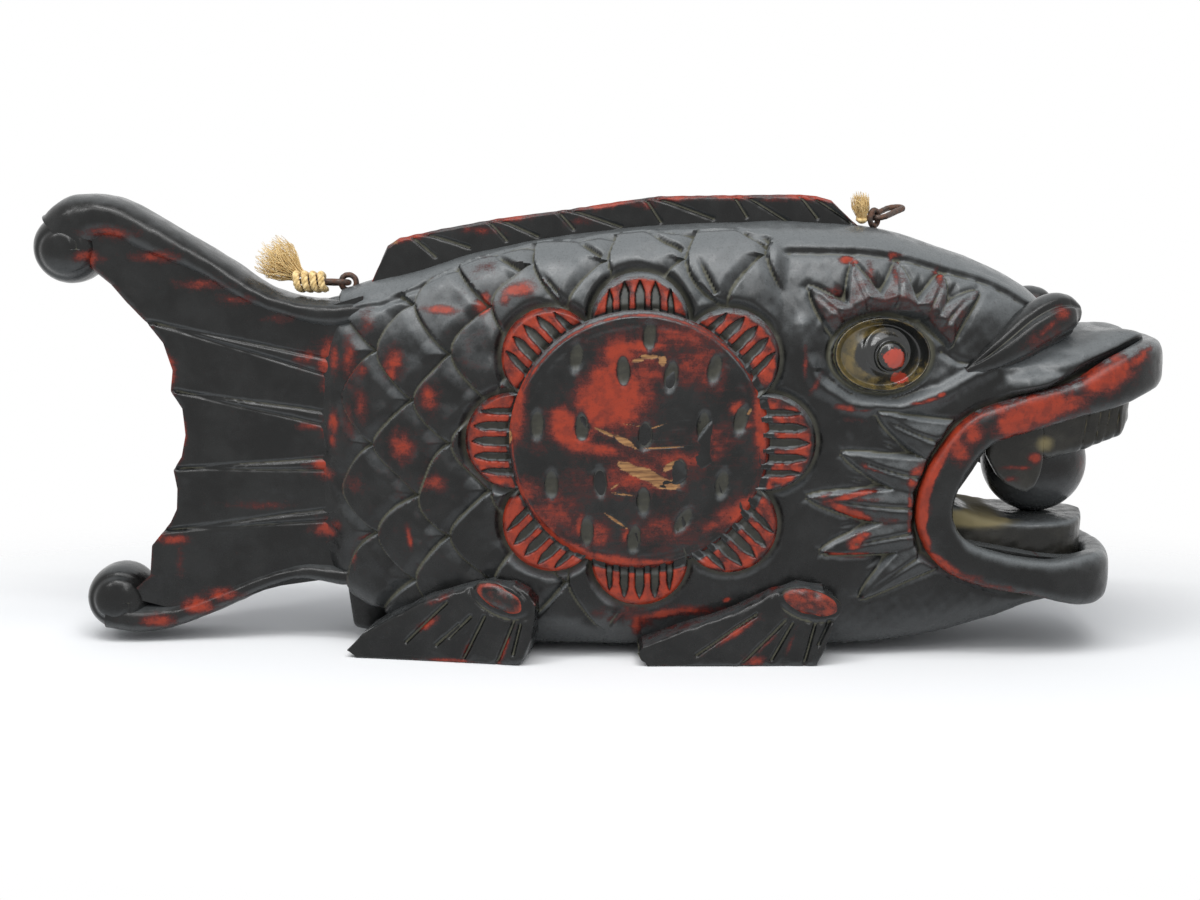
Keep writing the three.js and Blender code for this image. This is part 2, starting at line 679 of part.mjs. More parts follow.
// Loose ball, which lies in a shallow seat in the lower gum, or with a clearance the room around it
function ballSolid(clearance = 0) {
  const geometry = new THREE.SphereGeometry(ball.radius + clearance, ball.round, ball.tall);
  geometry.rotateX(Math.PI / 2);
  const seatedAt = lowerGum.top - ball.seat + ball.radius;
  geometry.translate(ball.x, 0, seatedAt + Math.max(clearance, GAP));
  return solidOf(geometry);
}

// Upright pin or bore in the back
function uprightPin(x, radius, low, high) {
  const geometry = new THREE.CylinderGeometry(radius, radius, high - low, PIN_SIDES);
  geometry.rotateX(Math.PI / 2);
  geometry.translate(x, 0, (low + high) / 2);
  return solidOf(geometry);
}

// Board of the dorsal fin, or with a clearance the groove that takes it
function dorsalSolid(clearance = 0) {
  const [rear, front] = [DORSAL_TOP[0][0], DORSAL_TOP[DORSAL_TOP.length - 1][0]];
  const base = [];
  for (let i = 0; i <= dorsal.baseSteps; i += 1) {
    const x = THREE.MathUtils.lerp(front + clearance, rear - clearance, i / dorsal.baseSteps);
    base.push([x, ridgeAt(x) - dorsal.let - clearance]);
  }
  const top = clearance > 0
    ? [[rear - clearance, ridgeAt(rear) + CUT_REACH], [front + clearance, ridgeAt(front) + CUT_REACH]]
    : DORSAL_TOP;
  const half = dorsal.half + clearance;
  return solidOf(slab([...top, ...base], -half, half, clearance > 0 ? 0 : dorsal.bevel));
}

// Hidden peg between the dorsal fin and the back, or with a clearance the bore that takes it
function dorsalPegSolid(x, clearance = 0) {
  const seat = ridgeAt(x) - dorsal.let;
  const reach = dorsalPeg.length / 2 + clearance;
  return uprightPin(x, dorsalPeg.radius + clearance, seat - reach, seat + reach);
}

// Solid of a standing fin before it is fitted to the flank
function finBlank(fin, side) {
  const block = slab(fin.outline, -fin.face, -finBody.root, finBody.bevel);
  const boss = new THREE.SphereGeometry(1, 10, 6);
  boss.scale(fin.knob.long, finBody.knobSink + finBody.knobStand, fin.knob.short);
  boss.rotateY(THREE.MathUtils.degToRad(-fin.knob.tilt));
  boss.translate(fin.knob.x, finBody.knobSink - fin.face, fin.knob.z);
  const blank = [block, boss].map((geometry) => {
    geometry.translate(-fin.turnAbout, fin.face, 0);
    geometry.rotateZ(THREE.MathUtils.degToRad(-fin.turn));
    geometry.translate(fin.turnAbout, -fin.face, 0);
    if (side === FAR) geometry.scale(1, -1, 1);
    return solidOf(geometry);
  });
  return joined(blank);
}

// Hidden peg between a fin and the flank, or with a clearance the bore that takes it
function finPegSolid([x, z], side, clearance = 0) {
  const length = finPeg.length + 2 * clearance;
  const radius = finPeg.radius + clearance;
  const geometry = new THREE.CylinderGeometry(radius, radius, length, PIN_SIDES);
  geometry.translate(x, side * flankAt(x, z), z);
  return solidOf(geometry);
}

// Height of a staple's ring, which stands on the back or a little way into it
const stapleHeight = ({ x, rise }) => ridgeAt(x) + rise;

function hoopSolid(staple, clearance = 0) {
  const hoop = new THREE.TorusGeometry(ring.hole + ring.wire, ring.wire + clearance, WIRE_SIDES, 16);
  hoop.rotateX(Math.PI / 2);
  hoop.rotateZ(THREE.MathUtils.degToRad(staple.turn));
  hoop.translate(staple.x, 0, stapleHeight(staple));
  return solidOf(hoop);
}

// Ring with its shank, or with a clearance the hole that it is driven into
function stapleSolid(staple, clearance = 0) {
  const high = stapleHeight(staple) - ring.hole - ring.wire;
  const low = ridgeAt(staple.x) - shank.length;
  const stem = uprightPin(staple.x, shank.radius + clearance, low - clearance, high);
  return hoopSolid(staple, clearance).add(stem);
}

// Placement of a link: +X along it from the ring, +Y across it
function linkPlace(staple, { pitch, roll }, heading) {
  const place = new THREE.Matrix4().makeTranslation(staple.x, 0, stapleHeight(staple));
  place.multiply(new THREE.Matrix4().makeRotationZ(THREE.MathUtils.degToRad(heading)));
  place.multiply(new THREE.Matrix4().makeRotationY(THREE.MathUtils.degToRad(-pitch)));
  return place.multiply(new THREE.Matrix4().makeRotationX(THREE.MathUtils.degToRad(roll)));
}

// Long link: wire bent to a racetrack, one end round the middle of the ring
function linkSolid(place) {
  const round = (link.width - 2 * link.wire) / 2;
  const reach = link.length - 2 * link.wire - 2 * round;
  const centres = [];
  for (const end of [0, 1]) {
    for (let i = 0; i <= link.endSteps; i += 1) {
      const angle = Math.PI / 2 + Math.PI * (end + i / link.endSteps);
      const x = round + end * reach + round * Math.cos(angle);
      centres.push({ x, y: round * Math.sin(angle), angle });
    }
  }
  const rings = centres.map(({ x, y, angle }) => {
    const ringPoints = [];
    for (let s = 0; s < WIRE_SIDES; s += 1) {
      const turn = (2 * Math.PI * s) / WIRE_SIDES;
      const out = link.wire * Math.cos(turn);
      const z = link.wire * Math.sin(turn);
      ringPoints.push(new THREE.Vector3(x + out * Math.cos(angle), y + out * Math.sin(angle), z));
    }
    return ringPoints;
  });
  const geometry = loft(rings, true);
  geometry.applyMatrix4(place);
  return solidOf(geometry);
}

// Middle line of the rope wound round both legs of a link, in the link's own directions
function windingLine() {
  const { radius, loops, pitch, fromEnd, squareness, steps } = winding;
  const [halfAcross, halfDeep] = [link.width / 2, link.wire].map((size) => size + GAP + radius);
  const line = [];
  for (let i = 0; i <= loops * steps; i += 1) {
    const turned = i / steps;
    const angle = 2 * Math.PI * turned - Math.PI / 2;
    const [c, d] = [Math.cos(angle), Math.sin(angle)];
    const x = link.length - fromEnd + pitch * (turned - loops / 2);
    const y = Math.sign(c) * Math.abs(c) ** squareness * halfAcross;
    const z = Math.sign(d) * Math.abs(d) ** squareness * halfDeep;
    line.push({ at: new THREE.Vector3(x, y, z), out: new THREE.Vector3(0, c * squareness, d).normalize() });
  }
  return line;
}

// Least gap between the wound rope's own turns
function windingGap(line) {
  let least = Infinity;
  for (let i = 0; i < line.length; i += 1) {
    for (let j = i + winding.steps / 2; j < line.length; j += 1) {
      least = Math.min(least, line[i].at.distanceTo(line[j].at) - 2 * winding.radius);
    }
  }
  return least;
}

// Rope wound on the rear link, with its frayed end above
function rearRopeSolid(place) {
  const line = windingLine();
  console.log(`least gap of the wound rope to itself: ${windingGap(line).toFixed(2)} mm`);
  const rings = line.map(({ at, out }) => {
    const ringPoints = [];
    for (let s = 0; s < winding.sides; s += 1) {
      const turn = (2 * Math.PI * (s + 0.5)) / winding.sides;
      const point = at.clone().addScaledVector(out, winding.radius * Math.cos(turn));
      point.x += winding.radius * Math.sin(turn);
      ringPoints.push(point);
    }
    return ringPoints;
  });
  const band = loft(rings);
  const tuft = tuftGeometry(rearTuft);
  tuft.translate(...line[line.length - 1].at.toArray());
  for (const geometry of [band, tuft]) geometry.applyMatrix4(place);
  return solidOf(band).add(solidOf(tuft));
}

// Frayed end: a bundle that flares from its neck to a ragged round head
function tuftGeometry({ length, neck, flare, pitch }) {
  const profile = [
    [0, -1.5], [neck * 0.8, -1], [neck, 1], [neck * 1.15, length * 0.25], [flare * 0.8, length * 0.55],
    [flare, length * 0.8], [flare * 0.82, length * 0.94], [0, length],
  ];
  const geometry = new THREE.LatheGeometry(profile.map(([r, y]) => new THREE.Vector2(r, y)), 14);
  geometry.rotateX(Math.PI / 2);
  geometry.rotateY(Math.PI / 2 - THREE.MathUtils.degToRad(pitch));
  return geometry;
}

// Rope end knotted behind the front ring, against the slope of the dorsal fin
function frontRopeSolid(linkRoom) {
  const knotPlace = new THREE.Vector3(
    frontStaple.x - frontKnot.behind, -frontKnot.nearer, stapleHeight(frontStaple),
  );
  const knotBall = new THREE.SphereGeometry(frontKnot.radius, 12, 8);
  knotBall.translate(...knotPlace.toArray());
  const tuft = tuftGeometry(frontTuft);
  tuft.translate(...knotPlace.toArray());
  const rough = solidOf(knotBall).add(solidOf(tuft));
  return without(rough, [hoopSolid(frontStaple, GAP), linkRoom, trunkSkin(GAP), dorsalSolid(GAP)]);
}

function chamberSolid() {
  const { rear, front, half, bottom, top, corner } = chamber;
  const room = [
    [rear, bottom + corner], [rear + corner, bottom], [front - corner, bottom], [front, bottom + corner],
    [front, top - corner], [front - corner, top], [rear + corner, top], [rear, top - corner],
  ];
  const below = lineAt(slot.front, "bottom") - corner;
  const above = bottom + corner;
  const mouth = [[slot.rear, below], [slot.front, below], [slot.front, above], [slot.rear, above]];
  return solidOf(slab(room, -half, half)).add(solidOf(slab(mouth, -slot.half, slot.half)));
}

function fishBody(flankFins) {
  const mouth = solidOf(slab(MOUTH_OUTLINE, -CUT_REACH, CUT_REACH));
  const head = without(trunkSkin(), [mouth]);
  const gum = solidOf(slab(UPPER_GUM, -upperGum.half, upperGum.half, upperGum.bevel));
  const carved = [head, tailSolid(), lipSolid(), gum, lowerGumSolid()];
  for (const { side } of SIDES) {
    carved.push(scalesSolid(side), faceSolid(side), medallionSolid(side));
    carved.push(eyelidSolid(side), fangSolid(side), nostrilSolid(side));
  }
  const cutters = [chamberSolid(), ballSolid(ballPocket), dorsalSolid(GAP)];
  for (const x of dorsalPeg.places) cutters.push(dorsalPegSolid(x, GAP));
  cutters.push(stapleSolid(rearStaple, GAP), stapleSolid(frontStaple, GAP));
  for (const { side } of SIDES) cutters.push(socketCutter(side));
  for (const { pegs, side } of flankFins) {
    for (const place of pegs) cutters.push(finPegSolid(place, side, GAP));
  }
  return without(joined(carved), cutters).simplify(SLIVER);
}

const board = new THREE.Group();
const finSets = [];
for (const [kind, fin] of [["pectoral", pectoral], ["pelvic", pelvic]]) {
  for (const { name, side } of SIDES) finSets.push({ kind, name, side, fin, pegs: fin.pegs });
}

board.add(meshOf("fish_body", fishBody(finSets), lacquer));

const backBores = dorsalPeg.places.map((x) => dorsalPegSolid(x, GAP));
board.add(meshOf("dorsal_fin", without(dorsalSolid(), backBores), lacquer));
dorsalPeg.places.forEach((x, i) => {
  board.add(meshOf(`dorsal_fin_peg_${i + 1}`, dorsalPegSolid(x), bareWood));
});

const flankSeat = trunkSkin(GAP);
for (const { kind, name, side, fin, pegs } of finSets) {
  const bores = pegs.map((place) => finPegSolid(place, side, GAP));
  const seats = [flankSeat, ...bores];
  board.add(meshOf(`${kind}_fin_${name}`, without(finBlank(fin, side), seats), lacquer));
  pegs.forEach((place, i) => {
    board.add(meshOf(`${kind}_fin_${name}_peg_${i + 1}`, finPegSolid(place, side), bareWood));
  });
}

for (const { name, side } of SIDES) board.add(meshOf(`eye_${name}`, eyeSolid(side), eyeGilt));
board.add(meshOf("mouth_ball", ballSolid(), lacquer));

const rearPlace = linkPlace(rearStaple, rearLink, 180);
const frontPlace = linkPlace(frontStaple, frontLink, frontStaple.turn);
board.add(meshOf("rear_staple", stapleSolid(rearStaple), iron));
board.add(meshOf("front_staple", stapleSolid(frontStaple), iron));
board.add(meshOf("rear_link", linkSolid(rearPlace), iron));
board.add(meshOf("front_link", linkSolid(frontPlace), iron));
board.add(meshOf("rear_rope_end", rearRopeSolid(rearPlace), hemp));
const linkRoom = new THREE.SphereGeometry(link.wire + 3 * GAP, 12, 8);
linkRoom.translate(frontStaple.x, 0, stapleHeight(frontStaple));
board.add(meshOf("front_rope_end", frontRopeSolid(solidOf(linkRoom)), hemp));

export default board;
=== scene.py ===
"""Looks of the wooden fish board: carved relief, worn lacquer, forged iron and frayed rope.

Sizes are in millimetres in the part's own frame, and become metres when a mesh is made.
"""

import logging
import math
from dataclasses import dataclass, field
from enum import Enum
from typing import Callable

import bpy
import numpy as np
from mathutils import Matrix, Vector


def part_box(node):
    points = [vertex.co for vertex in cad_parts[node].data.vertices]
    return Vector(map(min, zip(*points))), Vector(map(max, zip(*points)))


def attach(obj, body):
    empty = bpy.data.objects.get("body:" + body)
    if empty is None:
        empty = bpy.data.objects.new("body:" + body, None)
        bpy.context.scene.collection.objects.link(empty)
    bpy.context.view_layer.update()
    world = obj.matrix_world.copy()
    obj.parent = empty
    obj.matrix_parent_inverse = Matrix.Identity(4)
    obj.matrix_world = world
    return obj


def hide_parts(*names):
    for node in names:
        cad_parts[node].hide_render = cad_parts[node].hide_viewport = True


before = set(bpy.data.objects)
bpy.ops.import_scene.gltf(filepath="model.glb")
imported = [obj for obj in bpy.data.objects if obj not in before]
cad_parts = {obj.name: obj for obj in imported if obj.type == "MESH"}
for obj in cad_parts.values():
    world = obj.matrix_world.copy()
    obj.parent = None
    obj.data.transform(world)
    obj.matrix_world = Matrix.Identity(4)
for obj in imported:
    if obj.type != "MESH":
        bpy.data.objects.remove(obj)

Array = np.ndarray
Point = tuple[float, float]
Place = tuple[float, float, float]
Colour = tuple[float, float, float, float]
MM = 0.001
FULL_TURN = 2.0 * math.pi
CRISP_ANGLE = 50.0
OVAL_STEPS = 1200
PETAL_TURNS = np.arange(8) * math.pi / 4.0
PETAL_HALF = math.pi / 8.0
END_RINGS = (0.97, 0.9, 0.75, 0.5, 0.25, 0.04)
BOARD = "board"
LOG = logging.getLogger("fish_board")


class Side(Enum):
    """The two flanks of the fish, by the sign of Y."""

    NEAR = -1
    FAR = 1

    @property
    def label(self) -> str:
        """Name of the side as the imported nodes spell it."""
        return self.name.lower()


# Shared measures on arrays of points


def smooth(low: float, high: float, value: Array) -> Array:
    """Rise from 0 at low to 1 at high without corners; a high below low falls instead."""
    t = np.clip((value - low) / (high - low), 0.0, 1.0)
    return t * t * (3.0 - 2.0 * t)


def bump(distance: Array, width: float) -> Array:
    """A soft line: 1 on it, and near 0 two widths away."""
    return np.exp(-((distance / width) ** 2))


def welt(distance: Array, size: Point) -> Array:
    """A raised line of a height and a width; taken away, it is a groove."""
    return size[0] * bump(distance, size[1])


def unit(directions: Array) -> Array:
    """The same directions, each brought to a length of 1."""
    return directions / np.linalg.norm(directions, axis=-1, keepdims=True)


def full_turn(steps: int) -> Array:
    """Angles once round in even steps, with the start again at the end."""
    return np.linspace(0.0, FULL_TURN, steps + 1)


def squarer(wave: Array, power: float) -> Array:
    """A sine or cosine drawn towards a square wave by a power below 1."""
    return np.sign(wave) * np.abs(wave) ** power


def rounded(share: Array) -> Array:
    """Profile of a quarter round: 0 at its rim, and 1 from a share of 1 on."""
    t = np.clip(share, 0.0, 1.0)
    return np.sqrt(t * (2.0 - t))


def offsets(x: Array, z: Array, middle: Point, tilt: float) -> tuple[Array, Array]:
    """Distances from a middle, along a line that is tilted by so many degrees and across it.

    Args:
        x: places along X.
        z: heights.
        middle: the middle.
        tilt: degrees.

    Returns:
        Distance along the tilted line, and across it.
    """
    c, s = math.cos(math.radians(tilt)), math.sin(math.radians(tilt))
    dx, dz = x - middle[0], z - middle[1]
    return dx * c + dz * s, dz * c - dx * s


def rows_of(x: Array, y: Array, z: Array) -> Array:
    """Rows of points from their coordinates, each spread to the others' shape."""
    return np.stack(np.broadcast_arrays(x, y, z), axis=-1)


def along(x: Array, table: tuple[Point, ...]) -> Array:
    """Value read from a short table of places and values, straight between them."""
    places, values = zip(*table)
    return np.interp(x, places, values)


def line_place(x: Array, z: Array, start: Point, end: Point) -> tuple[Array, Array]:
    """Distance from each place to a straight line, and how far along it the nearest point is.

    Args:
        x: places along X.
        z: heights.
        start: start of the line.
        end: end of the line.

    Returns:
        The distance, and the share of the line.
    """
    (ax, az), (bx, bz) = start, end
    dx, dz = bx - ax, bz - az
    gone = ((x - ax) * dx + (z - az) * dz) / (dx * dx + dz * dz)
    t = np.clip(gone, 0.0, 1.0)
    return np.hypot(x - ax - t * dx, z - az - t * dz), gone


def line_distance(x: Array, z: Array, points: tuple[Point, ...]) -> Array:
    """Distance from each place to a line of straight stretches.

    Args:
        x: places along X.
        z: heights.
        points: corners of the line.

    Returns:
        The distance.
    """
    nearest = np.full(np.shape(x), np.inf)
    for start, end in zip(points, points[1:]):
        nearest = np.minimum(nearest, line_place(x, z, start, end)[0])
    return nearest


@dataclass(frozen=True)
class Ripple:
    """Smooth unevenness of hand work, as sine waves in fixed random directions."""

    seed: int
    length: float
    waves: int = 8

    def at(self, *axes: Array) -> Array:
        """Unevenness at each place, mostly between -1 and 1.

        Args:
            axes: the coordinates that it varies over.

        Returns:
            One value for each place.
        """
        draw = np.random.default_rng(self.seed)
        total = np.zeros(np.shape(axes[0]))
        for _ in range(self.waves):
            heading = draw.normal(size=len(axes))
            heading /= np.linalg.norm(heading)
            turns = FULL_TURN / (self.length * draw.uniform(0.7, 1.5))
            phase = draw.uniform(0.0, FULL_TURN)
            total += np.sin(turns * sum(a * h for a, h in zip(axes, heading)) + phase)
        return total / math.sqrt(self.waves)


def tooled(seed: int, broad: Point, fine: Point, *axes: Array) -> Array:
    """Broad swells and fine tool marks of a carved face, each by its depth and length."""
    swell = broad[0] * Ripple(seed, broad[1]).at(*axes)
    return swell + fine[0] * Ripple(seed + 1, fine[1], 10).at(*axes)


@dataclass(frozen=True)
class Patch:
    """A worn place on a flank: its middle, its reach each way, how bare it is and its tilt."""

    x: float
    z: float
    wide: float
    high: float
    depth: float = 1.0
    tilt: float = 0.0

    def at(self, x: Array, z: Array) -> Array:
        """How worn each place is, from 0 to depth."""
        forward, up = offsets(x, z, (self.x, self.z), self.tilt)
        return self.depth * np.exp(-((forward / self.wide) ** 2) - (up / self.high) ** 2)


def patches(*rows: tuple[float, ...]) -> tuple[Patch, ...]:
    """Patches from rows of their sizes."""
    return tuple(Patch(*row) for row in rows)


def worn(x: Array, z: Array, spots: tuple[Patch, ...]) -> Array:
    """Wear of the deepest patch at each place.

    Args:
        x: places along X.
        z: heights.
        spots: the patches.

    Returns:
        Wear from 0 to 1.
    """
    total = np.zeros(np.shape(x))
    for patch in spots:
        total = np.maximum(total, patch.at(x, z))
    return total


# Making meshes


def deselect() -> None:
    """Leave object mode with nothing selected."""
    if bpy.context.mode != "OBJECT":
        bpy.ops.object.mode_set(mode="OBJECT")
    bpy.ops.object.select_all(action="DESELECT")


def pick(piece: bpy.types.Object) -> None:
    """Select one piece alone and make it active.

    Args:
        piece: the piece.
    """
    deselect()
    piece.select_set(True)
    bpy.context.view_layer.objects.active = piece


def close_up(piece: bpy.types.Object, gap: float = 0.01) -> None:
    """Merge a piece's seams, fill its open ends and turn its faces out.

    Args:
        piece: the mesh to close.
        gap: corners nearer than this, in millimetres, become one.
    """
    pick(piece)
    bpy.ops.object.mode_set(mode="EDIT")
    bpy.ops.mesh.select_all(action="SELECT")
    bpy.ops.mesh.remove_doubles(threshold=gap * MM)
    bpy.ops.mesh.fill_holes(sides=0)
    bpy.ops.mesh.normals_make_consistent(inside=False)
    bpy.ops.object.mode_set(mode="OBJECT")


def shaped_grid(name: str, points: Array) -> bpy.types.Object:
    """A grid primitive whose corners are set on rows of points, then merged and closed.

    Args:
        name: name of the new piece.
        points: rows by columns by 3, in millimetres; a tube repeats its first column at the end.

    Returns:
        The closed piece.
    """
    rows, columns, _ = points.shape
    deselect()
    bpy.ops.mesh.primitive_grid_add(x_subdivisions=columns - 1, y_subdivisions=rows - 1, size=1.0)
    piece = bpy.context.object
    piece.name = name
    piece.data.name = name
    piece.data.vertices.foreach_set("co", (points * MM).astype(np.float32).ravel())
    piece.data.update()
    close_up(piece)
    return piece


def plank(name: str, outline: tuple[Point, ...], low: float, high: float, bevel: float) -> bpy.types.Object:
    """A board with an outline in X and Z, from one Y to another, with rounded rims.

    Args:
        name: name of the new piece.
        outline: corners in order, in millimetres.
        low: Y of the near face.
        high: Y of the far face.
        bevel: radius of the rims.

    Returns:
        The board.
    """
    deselect()
    bpy.ops.mesh.primitive_circle_add(vertices=len(outline), fill_type="NGON", radius=1.0)
    piece = bpy.context.object
    piece.name = name
    piece.data.name = name
    for vertex, (x, z) in zip(piece.data.vertices, outline):
        vertex.co = (x * MM, low * MM, z * MM)
    bpy.ops.object.mode_set(mode="EDIT")
    bpy.ops.mesh.select_all(action="SELECT")
    bpy.ops.mesh.extrude_region_move(TRANSFORM_OT_translate={"value": (0.0, (high - low) * MM, 0.0)})
    bpy.ops.mesh.select_all(action="SELECT")
    bpy.ops.mesh.normals_make_consistent(inside=False)
    bpy.ops.object.mode_set(mode="OBJECT")
    if bevel > 0.0:
        rim = piece.modifiers.new("rim", "BEVEL")
        rim.width = bevel * MM
        rim.segments = 5
        rim.limit_method = "ANGLE"
        rim.angle_limit = math.radians(35.0)
        apply_all(piece)
    return piece


def apply_all(piece: bpy.types.Object) -> None:
    """Apply every modifier of a piece in order.

    Args:
        piece: the piece.
    """
    pick(piece)
    for modifier in list(piece.modifiers):
        bpy.ops.object.modifier_apply(modifier=modifier.name)


def cut(piece: bpy.types.Object, tool: bpy.types.Object) -> None:
    """Cut one closed piece out of another.

    Args:
        piece: what is cut.
        tool: the shape that is taken away.
    """
    modifier = piece.modifiers.new("cut", "BOOLEAN")
    modifier.object = tool
    modifier.operation = "DIFFERENCE"
    modifier.solver = "EXACT"
    apply_all(piece)


def corners(piece: bpy.types.Object) -> Array:
    """Corners of a piece in millimetres, one row each.

    Args:
        piece: the piece.

    Returns:
        One row for each corner.
    """
    found = np.empty(len(piece.data.vertices) * 3, dtype=np.float32)
    piece.data.vertices.foreach_get("co", found)
    return found.reshape(-1, 3).astype(float) / MM


def sharpness(piece: bpy.types.Object, rounds: int = 2) -> Array:
    """How far each corner stands out of its neighbours: above 0 on ridges, below 0 in grooves.

    Args:
        piece: the finished mesh.
        rounds: how often the measure is spread to the neighbours.

    Returns:
        One value for each corner, in parts of its edges' length.
    """
    mesh = piece.data
    place = corners(piece)
    normal = np.empty(len(mesh.vertices) * 3, dtype=np.float32)
    mesh.vertices.foreach_get("normal", normal)
    normal = normal.reshape(-1, 3)
    ends = np.empty(len(mesh.edges) * 2, dtype=np.int32)
    mesh.edges.foreach_get("vertices", ends)
    first, second = ends.reshape(-1, 2).T
    count = np.bincount(ends, minlength=len(place)).clip(1)

    def spread(values: Array) -> Array:
        """Sum of the values of each corner's neighbours."""
        size = len(place)
        return np.bincount(first, values[second], size) + np.bincount(second, values[first], size)

    mean = np.stack([spread(place[:, axis]) for axis in range(3)], axis=1) / count[:, None]
    length = np.hypot.reduce(place[first] - place[second], axis=1)
    scale = (np.bincount(first, length, len(place)) + np.bincount(second, length, len(place))) / count
    out = ((place - mean) * normal).sum(axis=1) / scale.clip(1e-6)
    for _ in range(rounds):
        out = 0.5 * out + 0.5 * spread(out) / count
    return out


# Finishes


class Graph:
    """The nodes of a material or a world, added and joined in one step each."""

    def __init__(self, owner: bpy.types.Material | bpy.types.World) -> None:
        """Start with no nodes.

        Args:
            owner: the new material or world.
        """
        self.owner = owner
        owner.use_nodes = True
        self.tree = owner.node_tree
        self.tree.nodes.clear()

    def add(self, kind: str, inputs: dict | None = None, **settings: object) -> bpy.types.Node:
        """Add a node.

        Args:
            kind: Blender's name of the node type, without its ShaderNode prefix.
            inputs: values or sockets for its inputs, by name or number.
            settings: the node's own properties.

        Returns:
            The new node.
        """
        node = self.tree.nodes.new("ShaderNode" + kind)
        for key, value in settings.items():
            setattr(node, key, value)
        for key, value in (inputs or {}).items():
            if isinstance(value, bpy.types.NodeSocket):
                self.tree.links.new(value, node.inputs[key])
            else:
                node.inputs[key].default_value = value
        return node

    def place(self) -> bpy.types.NodeSocket:
        """Place on the piece in its own coordinates."""
        return self.add("TexCoord").outputs["Object"]

    def relief(self, height: bpy.types.NodeSocket, strength: float, depth: float) -> bpy.types.NodeSocket:
        """Direction of a surface with fine relief, so strong and so many metres deep."""
        inputs = {"Height": height, "Strength": strength, "Distance": depth}
        return self.add("Bump", inputs).outputs["Normal"]

    def noise(self, place: bpy.types.NodeSocket, scale: float, detail: float = 4.0) -> bpy.types.NodeSocket:
        """Noise around 0.5 over a place, with so many waves a metre."""
        inputs = {"Vector": place, "Scale": scale, "Detail": detail, "Roughness": 0.6}
        return self.add("TexNoise", inputs).outputs["Fac"]

    def math(self, operation: str, *values: object) -> bpy.types.NodeSocket:
        """Result of a sum on sockets or numbers."""
        return self.add("Math", dict(enumerate(values)), operation=operation).outputs[0]

    def times(self, value: object, factor: object) -> bpy.types.NodeSocket:
        """One value times another."""
        return self.math("MULTIPLY", value, factor)

    def sum(self, first: object, *others: object) -> bpy.types.NodeSocket:
        """All values together.

        Args:
            first: a value.
            others: the values to add to it.

        Returns:
            The sum.
        """
        for other in others:
            first = self.math("ADD", first, other)
        return first

    def spread(self, noise: bpy.types.NodeSocket, depth: float) -> bpy.types.NodeSocket:
        """Noise drawn from around 0.5 to around 0, so deep."""
        return self.times(self.math("SUBTRACT", noise, 0.5), depth)

    def seen(self) -> bpy.types.NodeSocket:
        """1 for what is seen straight, mirrored or through something, and 0 for light.

        Returns:
            The share.
        """
        path = self.add("LightPath").outputs
        other = self.math("MAXIMUM", path["Is Glossy Ray"], path["Is Transmission Ray"])
        return self.math("MAXIMUM", path["Is Camera Ray"], other)

    def ramp(self, value: bpy.types.NodeSocket, low: float, high: float) -> bpy.types.NodeSocket:
        """The value stretched so that low becomes 0 and high 1."""
        inputs = {"Value": value, "From Min": low, "From Max": high}
        return self.add("MapRange", inputs, clamp=True, interpolation_type="SMOOTHSTEP").outputs["Result"]

    def mix(self, share: object, first: object, second: object) -> bpy.types.NodeSocket:
        """Colour between two others.

        Args:
            share: share of the second colour.
            first: a colour.
            second: another colour.

        Returns:
            The mixed colour.
        """
        node = self.add("Mix", data_type="RGBA")
        for socket, value in zip((node.inputs[0], node.inputs[6], node.inputs[7]), (share, first, second)):
            if isinstance(value, bpy.types.NodeSocket):
                self.tree.links.new(value, socket)
            else:
                socket.default_value = value
        return node.outputs[2]

    def mix_value(self, share: object, first: object, second: object) -> bpy.types.NodeSocket:
        """Number between two others."""
        return self.add("Mix", {0: share, 2: first, 3: second}, data_type="FLOAT").outputs[0]

    def attribute(self, name: str) -> bpy.types.NodeSocket:
        """A mask kept on the mesh."""
        return self.add("Attribute", attribute_name=name, attribute_type="GEOMETRY").outputs["Fac"]

    def close(self, inputs: dict) -> bpy.types.Material:
        """End in a surface shader with these inputs and return the material.

        Args:
            inputs: inputs of the shader by name.

        Returns:
            The finished material.
        """
        shader = self.add("BsdfPrincipled", inputs)
        self.add("OutputMaterial", {"Surface": shader.outputs["BSDF"]})
        return self.owner


